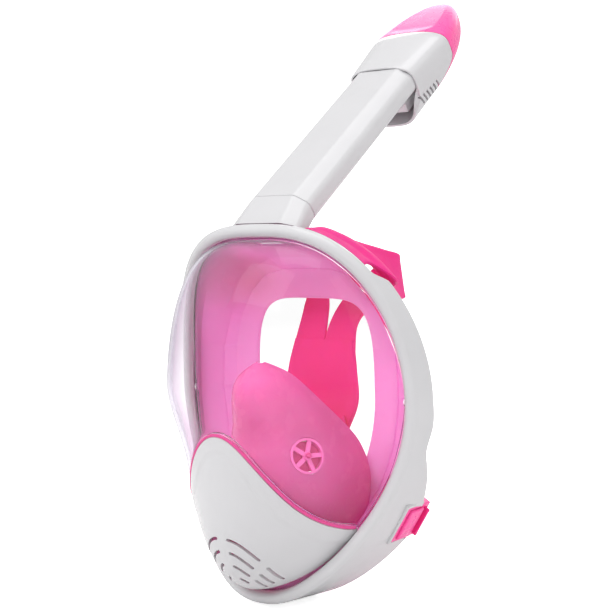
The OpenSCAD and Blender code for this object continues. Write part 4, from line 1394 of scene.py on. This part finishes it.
class SNORKEL_OT_valves(bpy.types.Operator):
    """Make the spoked valve seats and their silicone flaps"""

    bl_idname = "snorkel.valves"
    bl_label = "Valves"

    def execute(self, context):
        read_sizes()
        tree = wheel_tree()

        def seat(name, node, r, spokes, height, at, slot, look):
            values = {"Radius": r * MM, "Height": height * MM, "Spokes": spokes, "Material": bpy.data.materials[look]}
            wheel = soften(place(grown(name, tree, values), at), 0.3, 3, 40)
            finished(wheel, [node], "mask", look, 35)

        def flap(name, node, r, height, at, body):
            low = height - 3.7
            profile = [
                (1.25, low), (r * 0.9, low), (r * 0.97, low + 0.15), (r, low + 0.4), (r * 0.985, low + 0.8),
                (r * 0.9, low + 0.9), (r * 0.5, low + 0.9), (1.9, low + 1.0), (1.25, low + 1.6), (1.25, height + 1.9),
                (1.85, height + 2.1), (1.8, height + 2.5), (1.2, height + 3.2),
            ]
            disc = place(turned_piece(name, profile, 80), at)
            finished(disc, [node], body, "seal_skin", 40)

        for side, hand in ((1, "left"), (-1, "right")):
            at = wheel_frame(side) @ Matrix.Translation((0, 0, -4.2))
            seat(f"valve_wheel_{hand}", f"valve_seat_{hand}", form.wheel_r, form.spokes, SEAT_H, at, "valve_plastic",
                 "valve_satin")
            body = f"inhale_flap_{hand}"
            flap(f"valve_disc_{hand}", body, form.wheel_r - FLAP_INSET, SEAT_H, at, body)
        seat("drain_wheel", "drain_seat", form.drain_r, form.spokes + 1, DRAIN_SEAT_H, drain_frame(), "inner_white",
             "inner_plastic")
        flap("drain_disc", "drain_flap", form.drain_r - FLAP_INSET, DRAIN_SEAT_H, drain_frame(), "drain_flap")
        return {"FINISHED"}


def flat_outline(points, z):
    return [Vector((p.x, p.y, z)) for p in points]


def on_tube(points, z):
    at = tube_frame()
    return [at @ p for p in flat_outline(points, z)]


class SNORKEL_OT_tube(bpy.types.Operator):
    """Make the snorkel tube with its plug and channels, the socket that holds it, and the plug's gasket"""

    bl_idname = "snorkel.tube"
    bl_label = "Tube and socket"

    def execute(self, context):
        read_sizes()
        length, wall, plug = form.tube_len, form.tube_wall, form.plug_len
        end = length + HEAD_LAP
        rows = [flat_outline(tube_sec(g), z) for z, g in (
            (-plug, -PLUG_IN - 0.5), (-plug + 0.5, -PLUG_IN), (-0.05, -PLUG_IN), (0, -0.45), (0.12, -0.2), (0.4, 0),
            (1.2, 0), (length * 0.5, 0), (length - 1.4, 0), (length - 0.6, 0),
        )]
        stepped = [Vector((p.x, max(p.y, -form.tube_t + 0.4))) for p in tube_sec(0)]
        rows += [flat_outline(stepped, z) for z in (length - 0.55, length + 2, end - 0.5)]
        tube = rod_piece("tube_body", rows)
        for z, depth, inset in ((-plug - 1, plug + 4, -PLUG_IN - wall), (2, end, -wall)):
            cells = []
            for low, high in ((-60, -DIVIDER - 0.7), (-DIVIDER + 0.7, DIVIDER - 0.7), (DIVIDER + 0.7, 60)):
                cell = prism_piece("channel", tube_sec(inset), z, z + depth)
                keep = block_piece("keep", (low, -60, z - 5), (high - low, 120, depth + 10))
                cells.append(combine(cell, [keep], "INTERSECT"))
            combine(tube, cells, "DIFFERENCE")
        place(tube, tube_frame())
        finished(tube, ["snorkel_tube"], "snorkel", "shell_white", 30)

        foot = foot_ring(0)
        edge = [on_tube(tube_sec(-0.45), -0.2), on_tube(tube_sec(-0.2), -0.32), on_tube(tube_sec(0), -0.6)]
        outer = edge + [[a.lerp(b, u) for a, b in zip(edge[2], foot)] for u in (0.15, 0.3, 0.45, 0.6, 0.75, 0.9, 1)]
        grow = 0.15 - PLUG_IN
        low = -plug - 1.7
        rows = outer + [
            foot_ring(-PLUG_IN - 3), on_tube(tube_sec(-PLUG_IN - 3), low), on_tube(tube_sec(grow), low),
            on_tube(tube_sec(grow), -0.7), on_tube(tube_sec(grow + 0.5), -0.2),
        ]
        socket = ring_piece("socket_shell", rows)
        finished(socket, ["snorkel_socket"], "mask", "shell_white", 30)

        ring = rounded([(-0.1, 0, 0.3), (-0.1, 1.4, 0.3), (-2.4, 1.4, 0.3), (-2.4, 0, 0.3)], 2)
        rows = [on_tube(tube_sec(p.x - PLUG_IN), p.y - plug - 1.6) for p in ring]
        finished(ring_piece("plug_gasket", rows), ["socket_gasket"], "mask", "seal_skin")
        return {"FINISHED"}


class SNORKEL_OT_dry_top(bpy.types.Operator):
    """Make the dry top: head with its vents, cap, seat plate and float"""

    bl_idname = "snorkel.dry_top"
    bl_label = "Dry top"

    def execute(self, context):
        read_sizes()
        m, wall, z0 = 240, HEAD_WALL, form.tube_len
        columns = []
        for i in range(m):
            a = 360 * i / m
            h = hump(a)
            low = low_at(a)
            column = [head_at(a, g, 0, d) for g, d in ((-0.8, 0), (-0.35, 0.15), (-0.05, 0.7), (0, 1.6))]
            column += [head_at(a, 0, u) for u in (0.15, 0.3, 0.5, 0.7, 0.85)]
            column += [head_at(a, g, 1, d) for g, d in ((0, -0.75), (-0.15, -0.4), (-0.5, -0.2), (-wall, -0.2))]
            column += [head_at(a, -wall, u) for u in (0.75, 0.5, 0.25)]
            column.append(head_at(a, -wall, 0, mix(5, 1.6, h)))
            column.append(neck_at(a, 0.4, low + 5).lerp(head_at(a, -wall, 0, 1), h))
            column.append(neck_at(a, 0.4, low).lerp(head_at(a, -wall, 0), h))
            columns.append(column)
        head = ring_piece("head_shell", columns)
        cuts = [prism_piece("bore", tube_sec(0.1), 0, z0 + HEAD_LAP)]
        tree = stack_tree()
        for side in (1, -1):
            step = Vector((0, 0, form.vent_pitch)) * MM
            values = {"Count": form.vents, "Step": step, "Size": Vector((10, 10, 1.8)) * MM,
                      "Tilt": Vector((math.radians(30), 0, math.radians(12 * side))),
                      "Material": bpy.data.materials["shell_white"]}
            cuts.append(place(grown("vents", tree, values), Matrix.Translation((side * 27, 17, z0 + 2))))
        combine(head, cuts, "DIFFERENCE")
        finished(place(head, tube_frame()), ["dry_top_housing"], "snorkel", "shell_white", 34)

        def cap_point(a, u, grow):
            # the front is planed to one leaning facet inside a rounded border
            p = cap_at(a, u, grow)
            if p.y < 0:
                front = cap_at(270, u, grow).y
                p.y = max(p.y, front + 1.5 * min(1, u * 7) * (1 - u**3))
            return p

        n = 46
        rise = [0.985 * sind(90 * j / n) for j in range(n + 1)]
        outer = [[cap_point(360 * i / m, u, 0) for i in range(m)] for u in rise]
        outer = [[p.lerp(q, 0.012) for p, q in zip(outer[0], outer[1])]] + outer[1:]
        inner = [[cap_at(360 * i / m, 0.94 * sind(90 * j / 16), -wall) for i in range(m)] for j in range(16, -1, -1)]
        rows = outer + inner
        points = [p for row in rows for p in row]
        faces = []
        total = len(rows)
        for i in range(total):
            if i != n:
                k = (i + 1) % total
                faces += [(i * m + j, i * m + (j + 1) % m, k * m + (j + 1) % m, k * m + j) for j in range(m)]
        for row in (n, n + 1):
            centre = len(points)
            points.append(sum((points[row * m + j] for j in range(m)), Vector()) / m)
            faces += [(row * m + j, row * m + (j + 1) % m, centre) for j in range(m)]
        cap = mesh_piece("cap_shell", points, faces)
        finished(place(cap, tube_frame()), ["dry_top_cap"], "snorkel", "accent_gloss", 28)

        seat_z = z0 + HEAD_LAP + GAP
        middle = form.tube_t + GAP + FLOAT_T / 2
        outline = [head_xy(360 * i / 120, -3.4, 0.5) for i in range(120)]
        outline = [Vector((p.x, min(p.y, form.hump_top_t - 4))) for p in outline]
        plate = prism_piece("seat_plate", outline, seat_z, seat_z + 2)
        combine(plate, [prism_piece("bore", tube_sec(-form.tube_wall), seat_z - 1, seat_z + 3),
                        block_piece("port", (-11, middle - 3, seat_z - 1), (22, 6, 4))], "DIFFERENCE")
        finished(soften(place(plate, tube_frame()), 0.25), ["top_seat"], "snorkel", "inner_plastic")
        top = seat_z - 1.9 - FLOAT_TRAVEL
        size = (FLOAT_W, FLOAT_T, FLOAT_H)
        block = block_piece("float_body", (-FLOAT_W / 2, middle - FLOAT_T / 2, top - FLOAT_H), size, 1.2)
        finished(place(block, tube_frame()), ["float_block"], "float", "inner_plastic")
        size = (FLOAT_W - 2, FLOAT_T - 1, 1.6)
        pad = block_piece("float_pad", (1 - FLOAT_W / 2, middle - FLOAT_T / 2 + 0.5, top), size, 0.5)
        finished(place(pad, tube_frame()), ["float_seal"], "float", "seal_skin")
        return {"FINISHED"}


class SNORKEL_OT_clips(bpy.types.Operator):
    """Make the quick-release clips and their buttons"""

    bl_idname = "snorkel.clips"
    bl_label = "Clips"

    def execute(self, context):
        read_sizes()
        half, deep = form.clip_w / 2, CLIP_DEEP
        tree = stack_tree()
        at = clip_frame(1)
        x0 = -CLIP_THICK - 1.4
        body = block_piece("clip_left", (x0, 0.2 - deep, -half), (CLIP_THICK, deep + CLIP_BACK + 7, 2 * half), 0.7, 4)
        cuts = [block_piece("recess", (-3.6, 3.4 - deep, -half + 2), (4, deep - 3, 2 * half - 4), 0.3),
                block_piece("slot", (x0 - 1.6, CLIP_BACK + 1.8, -half + 3), (CLIP_THICK + 4, 3.6, 2 * half - 6), 0.9)]
        combine(body, cuts, "DIFFERENCE")
        place(soften(body, 0.35), at)
        button = block_piece("clip_key_left", (-2, 3.6 - deep, -half + 2.2), (2.4, deep - 3.4, 2 * half - 4.4), 0.8, 4)
        place(button, at)
        for name, piece, node in (("clip", body, "clip_body"), ("clip_key", button, "clip_button")):
            other = twin(piece, f"{name}_right")
            for obj, hand in ((piece, "left"), (other, "right")):
                body_name = f"clip_{hand}" if node == "clip_body" else f"clip_button_{hand}"
                finished(obj, [f"{node}_{hand}"], body_name, "accent_gloss", 35)
        return {"FINISHED"}


class SNORKEL_OT_straps(bpy.types.Operator):
    """Make the silicone head strap and the two lower straps"""

    bl_idname = "snorkel.straps"
    bl_label = "Straps"

    def execute(self, context):
        read_sizes()
        t, w = form.strap_t, form.strap_w
        clip = clip_frame(1)
        up_rim = clip.to_3x3() @ Vector((0, 0, 1))
        V = Vector
        seat = TONGUE_S + TONGUE_W + GAP + t / 2
        # the arm's middle line from the rim to the pad, and the way across it
        path = [V(p) for p in (
            (49.5, -2, 87.5), (46, 26, 79.5), (42, 45, 76.5), (30, 39, 71.5), (18, 26, 59), (13, 15, 44),
            (form.pad_w / 2 - 1.4, 7.4, 23),
        )]
        ways = [V(p) for p in (
            (-0.7, 0, 0.7), (-0.4, 0.1, 0.9), (-0.2, 0.1, 0.97), (-0.5, 0, 0.86), (-0.95, 0, 0.3), (-1, 0, 0),
            (-1, 0, 0),
        )]
        halves = (w + 11, w + 6.5, w + 3, w + 1, w - 0.5, w, form.pad_w / 2 - 1.6)

        def arm_at(u, v):
            # the root follows the rim
            rows = [rim_at(mix(a, b, v), seat, d) for a, b, d in STRAP_ROOT]
            rows += [p + way.normalized() * (2 * v - 1) * half for p, way, half in zip(path, ways, halves)]
            return along(rows, u)

        def rolled(thick):
            # rolled edges stand a little thicker than the web between them
            return lambda u, v: thick * (1 - 0.22 * ease((min(v, 1 - v) - 0.06) / 0.08))

        def ribbon(name, path, way, half, nu, nv, thick):
            middle = lambda u, v: along(path, u) + along(way, u).normalized() * (2 * v - 1) * along(half, u)
            wall = rolled(thick)
            return sheet_piece(name, middle, nu, nv, wall, lambda u, v: wall(u, v) / 2, 7)

        pad_t = t + 1.4
        pad = [V((0, 9.8, 34)), V((0, 6.4, 14)), V((0, 5, -8)), V((0, 5, -30))]
        front = pad[2].y - (pad_t + t) / 2 - GAP
        lower = [V((13, front, -22)), V((16, front, -36)), V((25, 3, -52)), V((46, 8, -67))]
        lower += [clip @ V((x, CLIP_BACK + y, z)) for x, y, z in ((-26, 9, -1), (-CLIP_THICK - 4, 4.4, 0), (2, 3, 0))]
        low_ways = [V((0.85, 0, 0.52)), V((0.8, 0, 0.6)), V((0.7, 0, 0.7)), V((0.5, 0, 0.86)), up_rim, up_rim, up_rim]
        low_halves = [9, 10, 11, 11, 10.5, 10.5, 10.5]
        wall = rolled(t)
        arm = sheet_piece("head_band", arm_at, 180, 32, wall, lambda u, v: wall(u, v) / 2, 7)
        other = twin(arm, "arm")
        wide = [form.pad_w - 5.6, form.pad_w - 1.5, form.pad_w, form.pad_w - 10]
        back = ribbon("pad", pad, [V((-1, 0, 0))] * 4, wide, 60, 40, pad_t)
        combine(arm, [other, back], "UNION")
        hole = [(STUD_R + 0.2, 0), (STUD_R + 0.2, 2.8)]
        holes = [place(turned_piece("hole", hole, 40), stud_frame(side, TONGUE_S)) for side in (1, -1)]
        combine(arm, holes, "DIFFERENCE")
        finished(arm, ["head_strap"], "mask", "strap_skin", 50)
        left = ribbon("lower_band_left", lower, low_ways, low_halves, 110, 22, t)
        right = twin(left, "lower_band_right")
        for obj, hand in ((left, "left"), (right, "right")):
            finished(obj, [f"lower_strap_{hand}"], None, "strap_skin", 50)
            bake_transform(obj)
        return {"FINISHED"}


class SNORKEL_PT_parts(bpy.types.Panel):
    """Sizes, colours and pieces of the full face snorkel"""

    bl_idname = "SNORKEL_PT_parts"
    bl_label = "Full face snorkel"
    bl_space_type = "VIEW_3D"
    bl_region_type = "UI"
    bl_category = "Snorkel"

    def draw(self, context):
        scene = context.scene
        for group in (scene.mask_sizes, scene.snorkel_sizes, scene.mask_colours):
            box = self.layout.box()
            for name in group.bl_rna.properties.keys():
                if name not in ("rna_type", "name"):
                    box.prop(group, name)
        for operator in OPERATORS:
            self.layout.operator(operator.bl_idname)


OPERATORS = (
    SNORKEL_OT_materials, SNORKEL_OT_stage, SNORKEL_OT_frame, SNORKEL_OT_window, SNORKEL_OT_cover, SNORKEL_OT_clamp,
    SNORKEL_OT_skirt, SNORKEL_OT_pocket, SNORKEL_OT_valves, SNORKEL_OT_tube, SNORKEL_OT_dry_top, SNORKEL_OT_clips,
    SNORKEL_OT_straps,
)
CLASSES = (MaskSizes, SnorkelSizes, MaskColours) + OPERATORS + (SNORKEL_PT_parts,)


def register():
    for cls in CLASSES:
        bpy.utils.register_class(cls)
    bpy.types.Scene.mask_sizes = PointerProperty(type=MaskSizes)
    bpy.types.Scene.snorkel_sizes = PointerProperty(type=SnorkelSizes)
    bpy.types.Scene.mask_colours = PointerProperty(type=MaskColours)


def unregister():
    del bpy.types.Scene.mask_colours
    del bpy.types.Scene.snorkel_sizes
    del bpy.types.Scene.mask_sizes
    for cls in reversed(CLASSES):
        bpy.utils.unregister_class(cls)


def main():
    register()
    for operator in OPERATORS:
        group, name = operator.bl_idname.split(".")
        getattr(getattr(bpy.ops, group), name)()


if __name__ == "__main__":
    main()
